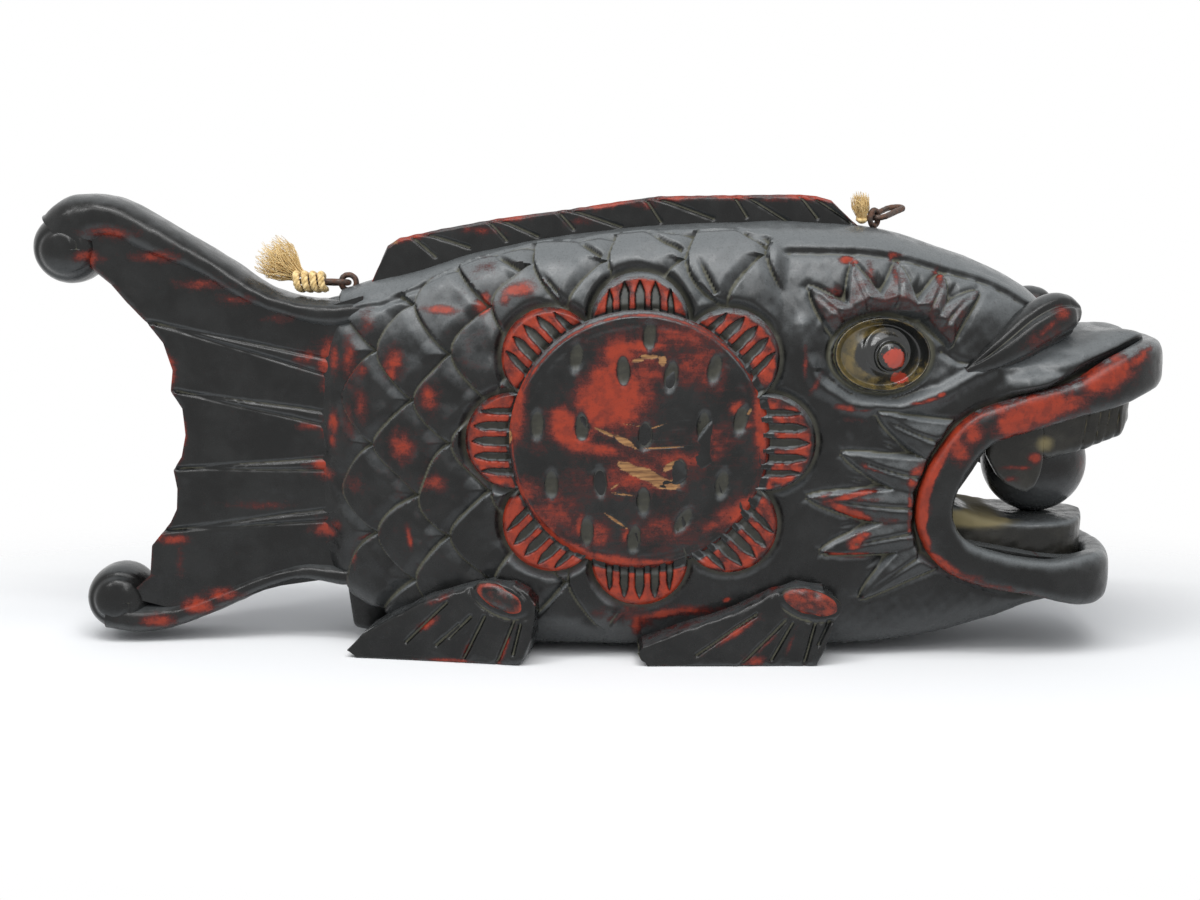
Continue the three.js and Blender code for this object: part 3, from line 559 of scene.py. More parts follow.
@dataclass(frozen=True)
class Lacquer:
    """Old black lacquer over red over wood, worn and dusty where the mesh's masks say so, with a painted
    sheen: pale colour painted on faces that look up and, fainter, on faces that look down.
    """

    name: str
    black: Colour = (0.0045, 0.0047, 0.0046, 1.0)
    grey: Colour = (0.0125, 0.0130, 0.0128, 1.0)
    wine: Colour = (0.046, 0.0080, 0.0070, 1.0)
    dull: Colour = (0.135, 0.018, 0.011, 1.0)
    red: Colour = (0.30, 0.034, 0.013, 1.0)
    deep: Colour = (0.19, 0.024, 0.012, 1.0)
    wood: Colour = (0.36, 0.19, 0.075, 1.0)
    wood_dark: Colour = (0.16, 0.075, 0.032, 1.0)
    grime: Colour = (0.115, 0.112, 0.080, 1.0)
    # Painted sheen: a pale grey-blue painted on faces that look up, standing in for the overhead light; the
    # next two numbers say how far up a face must look for it to start and to be full.
    painted_sheen: Colour = (0.132, 0.142, 0.146, 1.0)
    painted_sheen_from: float = 0.06
    painted_sheen_to: float = 0.76
    gloss: float = 0.26
    grain: float = 0.30

    def build(self) -> bpy.types.Material:
        """The node material of this lacquer.

        Returns:
            The material.
        """
        g = Graph(bpy.data.materials.new(self.name))
        place = g.place()
        along_grain = g.add("Mapping", {"Vector": place, "Scale": (0.07, 1.0, 1.0)}).outputs["Vector"]
        broad = g.noise(place, 48.0, 3.0)
        mid = g.noise(place, 190.0, 6.0)
        fine = g.noise(place, 1500.0, 3.0)
        streak = g.noise(along_grain, 800.0, 5.0)
        ragged = g.sum(g.spread(mid, 0.75), g.spread(fine, 0.55), g.spread(streak, self.grain))
        wear = g.sum(g.attribute("wear"), ragged)
        bare = g.sum(g.attribute("bare"), g.times(ragged, 0.9))
        dirt = g.sum(g.attribute("grime"), g.times(ragged, 0.4))
        red_mask = g.ramp(wear, 0.46, 0.74)
        wood_mask = g.ramp(bare, 0.46, 0.58)
        dirt_mask = g.times(g.ramp(dirt, 0.22, 0.95), 0.85)
        # Painted light: the painted sheen colour laid over faces that look up, a little less where they look
        # straight up, and more faintly over faces that look down, standing in for light from the floor.
        upward = g.add("SeparateXYZ", {"Vector": g.add("TexCoord").outputs["Normal"]}).outputs["Z"]
        upward = g.sum(upward, g.spread(mid, 0.3))
        above = g.times(g.ramp(upward, self.painted_sheen_from, self.painted_sheen_to),
                        g.math("SUBTRACT", 1.0, g.times(g.ramp(upward, 0.82, 1.05), 0.5)))
        below = g.times(g.ramp(g.times(upward, -1.0), 0.05, 0.5), 0.3)
        base = g.mix(g.ramp(broad, 0.35, 0.7), self.black, self.grey)
        base = g.mix(g.math("MAXIMUM", above, below), base, self.painted_sheen)
        base = g.mix(g.times(g.ramp(wear, 0.14, 0.42), 0.9), base, self.wine)
        base = g.mix(g.ramp(wear, 0.34, 0.56), base, self.dull)
        base = g.mix(red_mask, base, g.mix(g.ramp(mid, 0.34, 0.60), self.deep, self.red))
        base = g.mix(g.times(g.ramp(fine, 0.54, 0.72), 0.5), base, self.black)
        base = g.mix(wood_mask, base, g.mix(g.ramp(streak, 0.35, 0.62), self.wood_dark, self.wood))
        base = g.mix(dirt_mask, base, self.grime)
        rough = g.mix_value(g.ramp(mid, 0.3, 0.75), self.gloss - 0.05, self.gloss + 0.13)
        rough = g.mix_value(red_mask, rough, 0.40)
        rough = g.mix_value(wood_mask, rough, 0.62)
        rough = g.mix_value(dirt_mask, rough, 0.8)
        relief = g.sum(g.times(broad, 0.8), g.times(mid, 0.16), g.times(fine, 0.028),
                       g.times(red_mask, -0.05), g.times(wood_mask, -0.14))
        normal = g.relief(relief, 0.5, 0.0016)
        return g.close({
            "Base Color": base, "Roughness": rough, "Normal": normal, "Specular IOR Level": 0.31,
        })


@dataclass(frozen=True)
class Gilding:
    """Darkened gilding over black, for the eyes, with a red patch on the pupil."""

    name: str
    gilt: Colour = (0.15, 0.105, 0.028, 1.0)
    gilt_dark: Colour = (0.055, 0.044, 0.016, 1.0)
    black: Colour = (0.007, 0.0075, 0.007, 1.0)
    red: Colour = (0.36, 0.036, 0.017, 1.0)
    dirt: Colour = (0.10, 0.095, 0.05, 1.0)

    def build(self) -> bpy.types.Material:
        """The node material of the gilding.

        Returns:
            The material.
        """
        g = Graph(bpy.data.materials.new(self.name))
        place = g.place()
        mid = g.noise(place, 230.0, 5.0)
        fine = g.noise(place, 1200.0, 3.0)
        ragged = g.sum(g.spread(mid, 1.1), g.spread(fine, 0.4))
        gilt_mask = g.ramp(g.sum(g.attribute("gilt"), ragged), 0.20, 0.85)
        red_mask = g.ramp(g.sum(g.attribute("wear"), ragged), 0.42, 0.58)
        dirt_mask = g.ramp(g.sum(g.attribute("grime"), ragged), 0.3, 0.9)
        gold = g.mix(g.ramp(mid, 0.35, 0.65), self.gilt_dark, self.gilt)
        base = g.mix(gilt_mask, self.black, gold)
        base = g.mix(red_mask, base, self.red)
        base = g.mix(dirt_mask, base, self.dirt)
        rough = g.mix_value(gilt_mask, 0.16, 0.30)
        rough = g.mix_value(dirt_mask, rough, 0.8)
        normal = g.relief(mid, 0.25, 0.0008)
        return g.close({"Base Color": base, "Roughness": rough, "Normal": normal, "Coat Weight": 0.3})


@dataclass(frozen=True)
class ForgedIron:
    """Hand-forged iron with brown rust in patches."""

    name: str
    steel: Colour = (0.075, 0.058, 0.050, 1.0)
    rust: Colour = (0.115, 0.055, 0.034, 1.0)
    dust: Colour = (0.20, 0.13, 0.09, 1.0)

    def build(self) -> bpy.types.Material:
        """The node material of the iron.

        Returns:
            The material.
        """
        g = Graph(bpy.data.materials.new(self.name))
        place = g.place()
        mid = g.noise(place, 420.0, 5.0)
        fine = g.noise(place, 1900.0, 4.0)
        rusty = g.ramp(mid, 0.42, 0.6)
        base = g.mix(rusty, self.steel, self.rust)
        base = g.mix(g.ramp(fine, 0.55, 0.75), base, self.dust)
        metal = g.mix_value(rusty, 0.75, 0.1)
        rough = g.mix_value(rusty, 0.42, 0.8)
        relief = g.sum(mid, g.times(fine, 0.3))
        normal = g.relief(relief, 0.7, 0.0006)
        return g.close({"Base Color": base, "Metallic": metal, "Roughness": rough, "Normal": normal})


@dataclass(frozen=True)
class Hemp:
    """Dry straw-coloured rope, shaded from fibre to fibre."""

    name: str
    pale: Colour = (0.90, 0.68, 0.33, 1.0)
    dark: Colour = (0.52, 0.35, 0.13, 1.0)

    def build(self) -> bpy.types.Material:
        """The node material of the rope.

        Returns:
            The material.
        """
        g = Graph(bpy.data.materials.new(self.name))
        place = g.place()
        mid = g.noise(place, 700.0, 4.0)
        tone = g.sum(g.times(g.attribute("fibre"), 0.6), g.times(mid, 0.5))
        base = g.mix(g.ramp(tone, 0.2, 0.8), self.dark, self.pale)
        normal = g.relief(mid, 0.5, 0.0004)
        return g.close({"Base Color": base, "Roughness": 0.9, "Normal": normal, "Sheen Weight": 0.25})


@dataclass(frozen=True)
class BareWood:
    """Plain planed wood for the hidden dowels."""

    name: str
    dark: Colour = (0.30, 0.15, 0.05, 1.0)
    pale: Colour = (0.50, 0.27, 0.09, 1.0)

    def build(self) -> bpy.types.Material:
        """The node material of the dowels.

        Returns:
            The material.
        """
        g = Graph(bpy.data.materials.new(self.name))
        place = g.place()
        along_grain = g.add("Mapping", {"Vector": place, "Scale": (1.0, 0.1, 1.0)}).outputs["Vector"]
        grain = g.noise(along_grain, 900.0)
        base = g.mix(g.ramp(grain, 0.3, 0.7), self.dark, self.pale)
        normal = g.relief(grain, 0.3, 0.0003)
        return g.close({"Base Color": base, "Roughness": 0.65, "Normal": normal})


class Finish(Enum):
    """Every finish, by the name of its material and the record's slot."""

    LACQUER = ("black_lacquer", "black_lacquer")
    GUM = ("gum_lacquer", "black_lacquer")
    # The same black lacquer with less painted sheen: only faces that look nearly straight up get it.
    DARK = ("dark_lacquer", "black_lacquer")
    RED = ("red_lacquer", "red_lacquer")
    GILDING = ("eye_gilding", "eye_gilt")
    IRON = ("forged_iron", "iron")
    HEMP = ("hemp_rope", "hemp")
    WOOD = ("dowel_wood", "bare_wood")


def finish_materials() -> dict[Finish, bpy.types.Material]:
    """The material of every finish, each made once.

    Returns:
        The materials by finish.
    """
    lacquer, gum, dark, red, gilding, iron, hemp, wood = Finish
    recipes = {
        lacquer: Lacquer(lacquer.value[0]),
        gum: Lacquer(gum.value[0], black=(0.012, 0.0115, 0.0095, 1.0), grey=(0.032, 0.030, 0.024, 1.0),
                     grime=(0.30, 0.25, 0.125, 1.0)),
        # Less painted sheen, kept to faces that look nearly straight up, and a little glossier.
        dark: Lacquer(dark.value[0], painted_sheen_from=0.62, painted_sheen_to=1.3, gloss=0.21),
        red: Lacquer(red.value[0], black=(0.006, 0.0052, 0.0052, 1.0), gloss=0.22),
        gilding: Gilding(gilding.value[0]),
        iron: ForgedIron(iron.value[0]),
        hemp: Hemp(hemp.value[0]),
        wood: BareWood(wood.value[0]),
    }
    return {finish: recipe.build() for finish, recipe in recipes.items()}


Painter = Callable[[Array, Array], dict[str, Array]]


@dataclass
class Shop:
    """What every piece goes through once its shape is made: finish, body and node."""

    materials: dict[Finish, bpy.types.Material]
    made: list[str] = field(default_factory=list)

    def fit(self, piece: bpy.types.Object, finish: Finish, node: str = "fish_body", body: str = BOARD,
            paint: Painter | None = None) -> None:
        """Finish a piece and seat it on its body.

        Args:
            piece: the finished mesh.
            finish: its finish, with the record's slot.
            node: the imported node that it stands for.
            body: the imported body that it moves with.
            paint: gives the masks from the corners and their sharpness.
        """
        pick(piece)
        bpy.ops.object.shade_smooth_by_angle(angle=math.radians(CRISP_ANGLE))
        piece.data.materials.clear()
        piece.data.materials.append(self.materials[finish])
        if paint:
            for name, values in paint(corners(piece), sharpness(piece)).items():
                mask = piece.data.attributes.new(name, "FLOAT", "POINT")
                mask.data.foreach_set("value", np.clip(values, 0.0, 1.0).astype(np.float32))
        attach(piece, body)
        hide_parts(node)
        self.made.append(piece.name)
        LOG.info("%s: %d corners", piece.name, len(piece.data.vertices))

    def shape(self, name: str, rows: Array, finish: Finish, node: str = "fish_body", body: str = BOARD,
              paint: Painter | None = None) -> None:
        """Make a piece on rows of points and fit it.

        Args:
            name: name of the new piece.
            rows: rows by columns by 3, in millimetres.
            finish: its finish, with the record's slot.
            node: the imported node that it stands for.
            body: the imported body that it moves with.
            paint: gives the masks from the corners and their sharpness.
        """
        self.fit(shaped_grid(name, rows), finish, node, body, paint)


def edge_masks(sharp: Array, wear: Array, bare: Array | None = None) -> dict[str, Array]:
    """Masks with extra wear on ridges and grime in grooves.

    Args:
        sharp: sharpness of each corner.
        wear: wear from patches.
        bare: places worn to the wood.

    Returns:
        The masks by name.
    """
    ridge = smooth(0.05, 0.30, sharp)
    groove = smooth(0.035, 0.20, -sharp)
    return {
        "wear": wear * (1.0 - 0.8 * groove) + 0.32 * ridge,
        "bare": (np.zeros_like(wear) if bare is None else bare) * (1.0 - groove),
        "grime": groove,
    }


# Grids that pieces are shaped from


def oval_rows(x: Array, half: Array, low: Array, high: Array, upper: float, lower: float, count: int,
              middle: float = 0.0, crowd: float = 0.0) -> Array:
    """Cross sections along X, each a full oval, with corners at even steps round it.

    Args:
        x: place of each section.
        half: half width of each.
        low: lowest Z of each.
        high: highest Z of each.
        upper: how square the upper half is; 2 is round.
        lower: how square the lower half is.
        count: steps on each half from the bottom to the top.
        middle: Y of the middle.
        crowd: how much closer the corners lie where the side is upright.

    Returns:
        Sections by corners by 3; the bottom corner comes first and again last.
    """
    turn = np.linspace(-math.pi / 2.0, math.pi / 2.0, OVAL_STEPS)
    fullness = np.where(turn > 0.0, upper, lower)
    wide = np.abs(np.cos(turn)) ** (2.0 / fullness)
    tall = squarer(np.sin(turn), 2.0 / fullness)
    rows = []
    for px, a, lo, hi in zip(x, half, low, high):
        y, z = a * wide, (lo + hi) / 2.0 + (hi - lo) / 2.0 * tall
        steps = np.hypot(np.diff(y), np.diff(z)) + crowd * np.abs(np.diff(z))
        walked = np.concatenate([[0.0], np.cumsum(steps)])
        even = np.linspace(0.0, walked[-1], count + 1)
        ey, ez = np.interp(even, walked, y), np.interp(even, walked, z)
        rows.append(rows_of(px, middle + np.concatenate([-ey, ey[-2::-1]]), np.concatenate([ez, ez[-2::-1]])))
    return np.stack(rows)


def capped(rows: Array) -> Array:
    """Rings with more rings that shrink to the middle of the first and of the last one.

    Args:
        rows: rings of points.

    Returns:
        All the rings, closed to a point at each end.
    """
    def shrunk(ring: Array) -> Array:
        """Smaller and smaller rings inside one."""
        centre = ring.mean(axis=0)
        return np.stack([centre + (ring - centre) * share for share in END_RINGS])

    return np.concatenate([shrunk(rows[0])[::-1], rows, shrunk(rows[-1])])


def grid_normals(points: Array) -> Array:
    """Outward directions of a tube of rings whose last column repeats the first.

    Args:
        points: rings of points.

    Returns:
        One direction for each point.
    """
    ring = points[:, :-1]
    around = np.roll(ring, -1, axis=1) - np.roll(ring, 1, axis=1)
    around = np.concatenate([around, around[:, :1]], axis=1)
    normal = np.cross(np.gradient(points, axis=0), around)
    normal /= np.linalg.norm(normal, axis=2, keepdims=True).clip(1e-9)
    outward = ((points - ring.mean(axis=1, keepdims=True)) * normal).sum()
    return normal if outward > 0.0 else -normal


def raised(points: Array, height: Array) -> Array:
    """The grid moved out along its own directions."""
    return points + grid_normals(points) * height[..., None]


def frames_along(line: Array, closed: bool) -> tuple[Array, Array]:
    """Two directions across a line at each of its points, turning as little as possible.

    Args:
        line: points of the line.
        closed: whether the line closes on itself.

    Returns:
        The two directions at each point.
    """
    if closed:
        heading = np.roll(line, -1, axis=0) - np.roll(line, 1, axis=0)
    else:
        heading = np.gradient(line, axis=0)
    heading = unit(heading)
    start = np.array([0.0, 0.0, 1.0]) if abs(heading[0, 2]) < 0.8 else np.array([1.0, 0.0, 0.0])
    across = np.empty_like(line)
    for i, forward in enumerate(heading):
        start = unit(start - forward * (start @ forward))
        across[i] = start
    return across, np.cross(heading, across)


def tube_rows(line: Array, radius: Array | float, sides: int, closed: bool = False) -> Array:
    """A round tube along a line, as a grid whose last column repeats the first.

    Args:
        line: points of the middle line.
        radius: radius at each point, or one for all.
        sides: corners round the tube.
        closed: the line runs back to its start; the first ring then comes again last.

    Returns:
        Rings by corners by 3.
    """
    across, up = frames_along(line, closed)
    turn = full_turn(sides)
    ring = np.cos(turn)[None, :, None] * across[:, None] + np.sin(turn)[None, :, None] * up[:, None]
    rows = line[:, None] + ring * np.broadcast_to(radius, len(line))[:, None, None]
    return np.concatenate([rows, rows[:1]], axis=0) if closed else rows


def spline(points: Array, count: int, closed: bool = False) -> Array:
    """Points at even steps along a smooth line through others.

    Args:
        points: places that the line passes.
        count: how many points come back.
        closed: the line runs back to its start.

    Returns:
        The points, of as many axes as the given ones.
    """
    held = np.concatenate([points[-1:], points, points[:2]]) if closed else np.concatenate(
        [2 * points[:1] - points[1:2], points, 2 * points[-1:] - points[-2:-1]])
    dense = []
    for a, b, c, d in zip(held, held[1:], held[2:], held[3:]):
        t = np.linspace(0.0, 1.0, 40, endpoint=False)[:, None]
        dense.append(0.5 * (2 * b + (c - a) * t + (2 * a - 5 * b + 4 * c - d) * t**2
                            + (3 * b - a - 3 * c + d) * t**3))
    dense = np.concatenate(dense + [held[-2:-1]])
    walked = np.concatenate([[0.0], np.cumsum(np.linalg.norm(np.diff(dense, axis=0), axis=1))])
    even = np.linspace(0.0, walked[-1], count, endpoint=not closed)
    return np.stack([np.interp(even, walked, dense[:, axis]) for axis in range(points.shape[1])], axis=1)


# The trunk and its carving


@dataclass(frozen=True)
class TrunkForm:
    """Plain body of the fish: its back, belly and half width from the tail root to the snout."""

    stations: tuple[tuple[float, float, float, float], ...] = (
        (-144, 178, 40, 13), (-126, 187.5, 26, 26), (-100, 194, 14, 36), (-60, 205, 5, 45),
        (-20, 213, 2.5, 50), (25, 218, 2.5, 52), (70, 220, 2.5, 52.5), (110, 220, 2.5, 52),
        (146, 216, 4, 50), (180, 205.5, 9.5, 47), (205, 195.5, 17, 45), (226, 183, 24, 43),
        (244, 171, 28, 41), (260, 167, 30, 38), (274, 165, 32, 34), (284.5, 160.5, 38, 27),
        (290, 152, 48, 15),
    )
    upper: float = 2.4
    lower: float = 5.5

    def line(self, x: Array, column: int) -> Array:
        """Back (1), belly (2) or half width (3) at places along X.

        Args:
            x: places along X.
            column: which of the lines.

        Returns:
            The line at each place.
        """
        table = np.array(self.stations, dtype=float)
        places, values = table[:, 0], table[:, column]
        slopes = np.gradient(values)
        slopes[1:-1] = (values[2:] - values[:-2]) / (places[2:] - places[:-2])
        slopes[0] = (values[1] - values[0]) / (places[1] - places[0])
        slopes[-1] = (values[-1] - values[-2]) / (places[-1] - places[-2])
        i = np.clip(np.searchsorted(places, x, "left") - 1, 0, len(places) - 2)
        span = places[i + 1] - places[i]
        t = np.clip((x - places[i]) / span, 0.0, 1.0)
        u = 1.0 - t
        ends = values[i] * u * u * (1.0 + 2.0 * t) + values[i + 1] * t * t * (3.0 - 2.0 * t)
        return ends + span * t * u * (slopes[i] * u - slopes[i + 1] * t)

    def ridge(self, x: Array) -> Array:
        """Height of the back."""
        return self.line(x, 1)

    def flank(self, x: Array, z: Array) -> Array:
        """Half width at a place on the flank.

        Args:
            x: places along X.
            z: heights.

        Returns:
            The half width, without carving.
        """
        top, bottom = self.line(x, 1), self.line(x, 2)
        middle = (top + bottom) / 2.0
        share = np.minimum(np.abs(z - middle) / ((top - bottom) / 2.0), 0.995)
        fullness = np.where(z > middle, self.upper, self.lower)
        return self.line(x, 3) * (1.0 - share**fullness) ** (1.0 / fullness)

    def rows(self, x: Array, around: int) -> Array:
        """Sections of the body at places along X, finest on the flanks."""
        return oval_rows(x, self.line(x, 3), self.line(x, 2), self.line(x, 1), self.upper, self.lower, around,
                         crowd=1.6)

    def on_flank(self, x: float, z: float, side: Side) -> tuple[Array, Array, Array, Array]:
        """A place on the flank with its directions along, out and up.

        Args:
            x: place along X.
            z: height.
            side: which flank.

        Returns:
            The point and three unit directions.
        """
        step = 2.0
        by_x = (self.flank(x + step, z) - self.flank(x - step, z)) / (2.0 * step)
        by_z = (self.flank(x, z + step) - self.flank(x, z - step)) / (2.0 * step)
        out = unit(np.array([-by_x, float(side.value), -by_z]))
        across = unit(np.cross(out, [0.0, 0.0, 1.0]))
        along_x = across * np.sign(across[0])
        return np.array([x, side.value * self.flank(x, z), z]), along_x, out, np.cross(across, out)


@dataclass(frozen=True)
class Tongue:
    """A flame or leaf in low relief, wide at its root and pointed at its tip."""

    root: Point
    tip: Point
    half: float
    taper: float = 0.8
    lean: float = 0.0

    def shape(self, x: Array, z: Array) -> tuple[Array, Array, Array]:
        """Depth inside the outline, offset from the midrib and share of the length.

        Args:
            x: places along X.
            z: heights.

        Returns:
            Depth inside in millimetres (below 0 outside), offset and share.
        """
        dx, dz = self.tip[0] - self.root[0], self.tip[1] - self.root[1]
        length = math.hypot(dx, dz)
        ux, uz = dx / length, dz / length
        share = ((x - self.root[0]) * ux + (z - self.root[1]) * uz) / length
        bow = self.lean * 4.0 * np.clip(share, 0.0, 1.0) * (1.0 - np.clip(share, 0.0, 1.0))
        offset = -(x - self.root[0]) * uz + (z - self.root[1]) * ux - bow
        wide = self.half * np.clip(1.0 - share, 0.0, 1.0) ** self.taper
        inside = wide - np.abs(offset)
        ends = np.minimum((1.0 - share) * 0.8, share + 0.04) * length
        return np.minimum(inside, ends), offset, share


@dataclass(frozen=True)
class Scales:
    """Overlapping scales in staggered columns, each free on its tail side."""

    first: float = -114.6
    pitch: float = 19.7
    row: float = 47.0
    middle: float = 133.2
    reach: float = 18.5
    bulge: float = 1.7
    lift: float = 2.3
    chamfer: float = 7.0
    drop: float = 2.9
    top_row: float = 203.5
    columns: int = 12

    def relief(self, x: Array, z: Array) -> tuple[Array, Array]:
        """Height of the scales over the plain flank, and how near each place is to a free edge.

        Args:
            x: places along X.
            z: heights.

        Returns:
            The height in millimetres, and the nearness from 0 to 1.
        """
        half = self.row / 2.0
        total = np.full(np.shape(x), self.lift)
        line = np.zeros(np.shape(x))
        for column in range(self.columns):
            centre = self.middle + (half if column % 2 else 0.0)
            share = (np.mod(z - centre + half, self.row) - half) / half
            edge = self.first + self.pitch * column - self.reach * (1.0 - np.abs(share) ** self.bulge)
            edge = np.where((column % 2 == 0) & (z > self.top_row), 1e3, edge)
            slope = self.reach * self.bulge * np.abs(share) ** (self.bulge - 1.0) / half
            inside = (x - edge) / np.sqrt(1.0 + slope**2)
            on = smooth(-0.5, 0.7, inside)
            back = np.clip(inside, 0.0, 22.0)
            face = self.lift + 0.5 * (1.0 - share**2) + 0.9 * (1.0 - ((back - 5.0) / 12.0) ** 2).clip(-1.0)
            gutter = self.drop * np.clip(1.0 + inside / self.chamfer, 0.0, 1.0) ** 1.4
            total = (total - gutter) * (1.0 - on) + face * on
            line = line * (1.0 - on) + bump(np.minimum(inside + 0.2, 0.0) - 0.5 * on, 1.5) * (1.0 - on)
        return total, line


@dataclass(frozen=True)
class Carving:
    """Everything carved into the trunk itself: scales, back, face, brow and cheek leaves.

    Attributes:
        band_edge: half width of the smooth band along the back.
        lip_edge: line where the lips meet the cheek, from the snout round to the lower jaw.
        creases: line, depth and width of each crease by the mouth.
        cuts: start, end, width and depth of the cuts along the shoulder.
        nostril_bed: swelling that the nostril leaf lies on.
        link_rub: place along X and Y, half widths and depth of the hollow that the front link rubs.
        back_half: how far from the middle the carving of the face begins.
        socket: depth of the hollow under each eye.
    """

    form: TrunkForm = TrunkForm()
    scales: Scales = Scales()
    band_edge: tuple[Point, ...] = (
        (-130, 14), (-112, 18.5), (-103.6, 18.8), (-82, 17.9), (-55.5, 13.6), (-28.2, 13), (-12.3, 15.5),
        (0, 14.5), (23.5, 15.2), (45.9, 18.1), (68.9, 17.5), (84.7, 22.9), (92, 29.5), (110.9, 29.2),
        (133.4, 27.6), (163.8, 25.5), (188.8, 23.4), (216.9, 23.5), (232, 22),
    )
    band_step: float = 1.5
    petal_moat: Point = (1.7, 2.4)
    lid_ridge: Point = (3.0, 4.4)
    lid_cut: Point = (0.9, 2.2)
    brow_ridge: Point = (1.5, 2.8)
    eye_gap: Point = (1.6, 0.055)
    eye_bed: float = 1.9
    brow_height: float = 3.9
    cheek_height: float = 3.5
    lip_swell: float = 9.5
    nostril_bed: Patch = Patch(193, 176, 15, 12, 2.4, -35)
    medallion: Point = (20.0, 113.5)
    petal_reach: Point = (63.5, 59.5)
    petal_radius: float = 24.5
    eye: Point = (140.5, 157.0)
    eye_half: Point = (24.5, 18.5)
    lid_fold: tuple[Point, ...] = (
        (99.5, 171), (101, 157), (109.5, 142.2), (125.2, 132.7), (149.5, 129.9), (170.3, 136.7),
        (188.6, 146.4), (197, 150),
    )
    brow_arc: tuple[Point, ...] = (
        (112, 173), (121, 178.5), (134, 182.5), (149, 183), (163, 179.5), (172, 171.5), (177, 163),
    )
    lip_edge: tuple[Point, ...] = (
        (286, 160), (275, 156.5), (262, 152), (241, 146), (223, 138), (206, 135.5), (190, 129),
        (179, 121), (169, 107),
        (161, 88), (160, 70), (164, 56), (181, 44.5), (202, 36.5), (224, 31),
    )
    brow: tuple[Tongue, ...] = (
        Tongue((124, 173), (105, 190), 9.5, 0.75, 1.5),
        Tongue((135, 177), (127, 201), 12.0, 0.8, 1.0),
        Tongue((148, 178), (150, 202), 12.0, 0.8, -1.0),
        Tongue((163, 176), (173, 195.5), 8.5, 0.55, -1.0),
        Tongue((170, 168), (191, 186.5), 9.0, 0.7, 1.5),
    )
    cheek: tuple[Tongue, ...] = (
        Tongue((174, 112), (139, 127.5), 12.0, 0.7, 1.5),
        Tongue((170, 93), (122, 107.5), 12.5, 0.7, 1.5),
        Tongue((168, 79), (105, 85.5), 12.5, 0.65, 1.0),
        Tongue((168, 68), (112.5, 57.5), 12.0, 0.65, -1.0),
        Tongue((168, 58), (133, 32.5), 11.0, 0.65, -1.5),
    )
    creases: tuple[tuple[tuple[Point, ...], float, float], ...] = (
        (((172, 158), (180, 153), (190, 151), (197, 153)), 1.8, 2.0),
        (((206, 146), (218, 148), (232, 145), (246, 148)), 0.8, 2.2),
        (((203, 153), (214, 153), (228, 156), (238, 153)), 0.8, 2.2),
    )
    cuts: tuple[tuple[Point, Point, float, float], ...] = (
        ((-55.5, 204.3), (-39, 197.2), 1.0, 2.6), ((-13, 212.0), (0.5, 204.8), 1.0, 2.6),
        ((21, 216.2), (41.5, 207.8), 1.0, 2.8), ((67, 218.2), (86, 208.8), 0.9, 2.4),
        ((-30.5, 196.5), (-17.5, 182.0), 1.0, 1.9), ((48.5, 204), (57.5, 186.5), 1.2, 2.4),
    )
    link_rub: tuple[float, ...] = (153.0, 14.5, 11.0, 6.0, 0.8)
    back_half: float = 20.0
    socket: float = 5.0

    def scaled(self, points: Array) -> tuple[Array, Array, Array]:
        """Slightly wandering places for the scales, and 1 where scales lie.

        Args:
            points: points of the piece.

        Returns:
            The places along and up, and the share of scales.
        """
        x, y, z = np.moveaxis(points, -1, 0)
        wx = x + 1.3 * Ripple(3, 42.0).at(x, z, y * 0.3)
        wz = z + 1.3 * Ripple(4, 42.0).at(x, z, y * 0.3)
        limit = along(wz, ((70, 6), (105, 60), (170, 84), (205, 90)))
        ends = smooth(limit + 7.0, limit - 2.0, wx) * smooth(10.0, 24.0, z)
        return wx, wz, ends * (1.0 - self.band(points))

    def band(self, points: Array) -> Array:
        """1 on the smooth back between the shoulder lines and 0 on the flanks.

        Args:
            points: points of the piece.

        Returns:
            The share of smooth back.
        """
        x, y, z = np.moveaxis(points, -1, 0)
        edge = along(x, self.band_edge)
        middle = (self.form.line(x, 1) + self.form.line(x, 2)) / 2.0
        ends = smooth(-138.0, -128.0, x) * smooth(232.0, 218.0, x)
        return smooth(edge + 0.7, edge - 0.9, np.abs(y)) * (z > middle) * ends

    def petals(self, x: Array, z: Array) -> Array:
        """Distance outside the ring of petals, below 0 under it.

        Args:
            x: places along X.
            z: heights.

        Returns:
            The distance in millimetres.
        """
        outside = np.full(np.shape(x), np.inf)
        for turn in PETAL_TURNS:
            cx = self.medallion[0] + self.petal_reach[0] * math.cos(turn)
            cz = self.medallion[1] + self.petal_reach[1] * math.sin(turn)
            outside = np.minimum(outside, np.hypot(x - cx, z - cz) - self.petal_radius)
        return outside

    def eye_share(self, x: Array, z: Array) -> Array:
        """1 on the rim of the eye, less inside."""
        return np.hypot((x - self.eye[0]) / self.eye_half[0], (z - self.eye[1]) / self.eye_half[1])

    def tongues(self, x: Array, z: Array, tongues: tuple[Tongue, ...], height: float) -> Array:
        """Height of a spray of rounded tongues with cut midribs, and deep notches between their roots.

        Args:
            x: places along X.
            z: heights.
            tongues: the tongues of the spray.
            height: how far they stand out.

        Returns:
            The height in millimetres.
        """
        total = np.zeros(np.shape(x))
        first, second = np.full(np.shape(x), -1e3), np.full(np.shape(x), -1e3)
        for tongue in tongues:
            inside, offset, share = tongue.shape(x, z)
            on = smooth(-0.3, 0.9, inside)
            rib = 1.5 * bump(np.abs(offset) - 0.25, 1.0) * smooth(0.95, 0.7, share)
            rib *= smooth(-0.05, 0.12, share)
            swell = 0.75 * height * smooth(-0.5, 0.75 * tongue.half, inside)
            fold = 0.25 * height * smooth(0.5, 1.0, share)
            total = np.maximum(total, on * (0.60 * height + swell - fold - rib))
            second = np.maximum(second, np.minimum(first, inside))
            first = np.maximum(first, inside)
        notch = smooth(-8.5, -1.5, second) + 0.45 * bump(np.minimum(first + 0.6, 0.0), 2.0)
        return np.where(first > -0.3, total, -2.9 * np.minimum(notch, 1.1) * smooth(-0.3, -1.2, first))

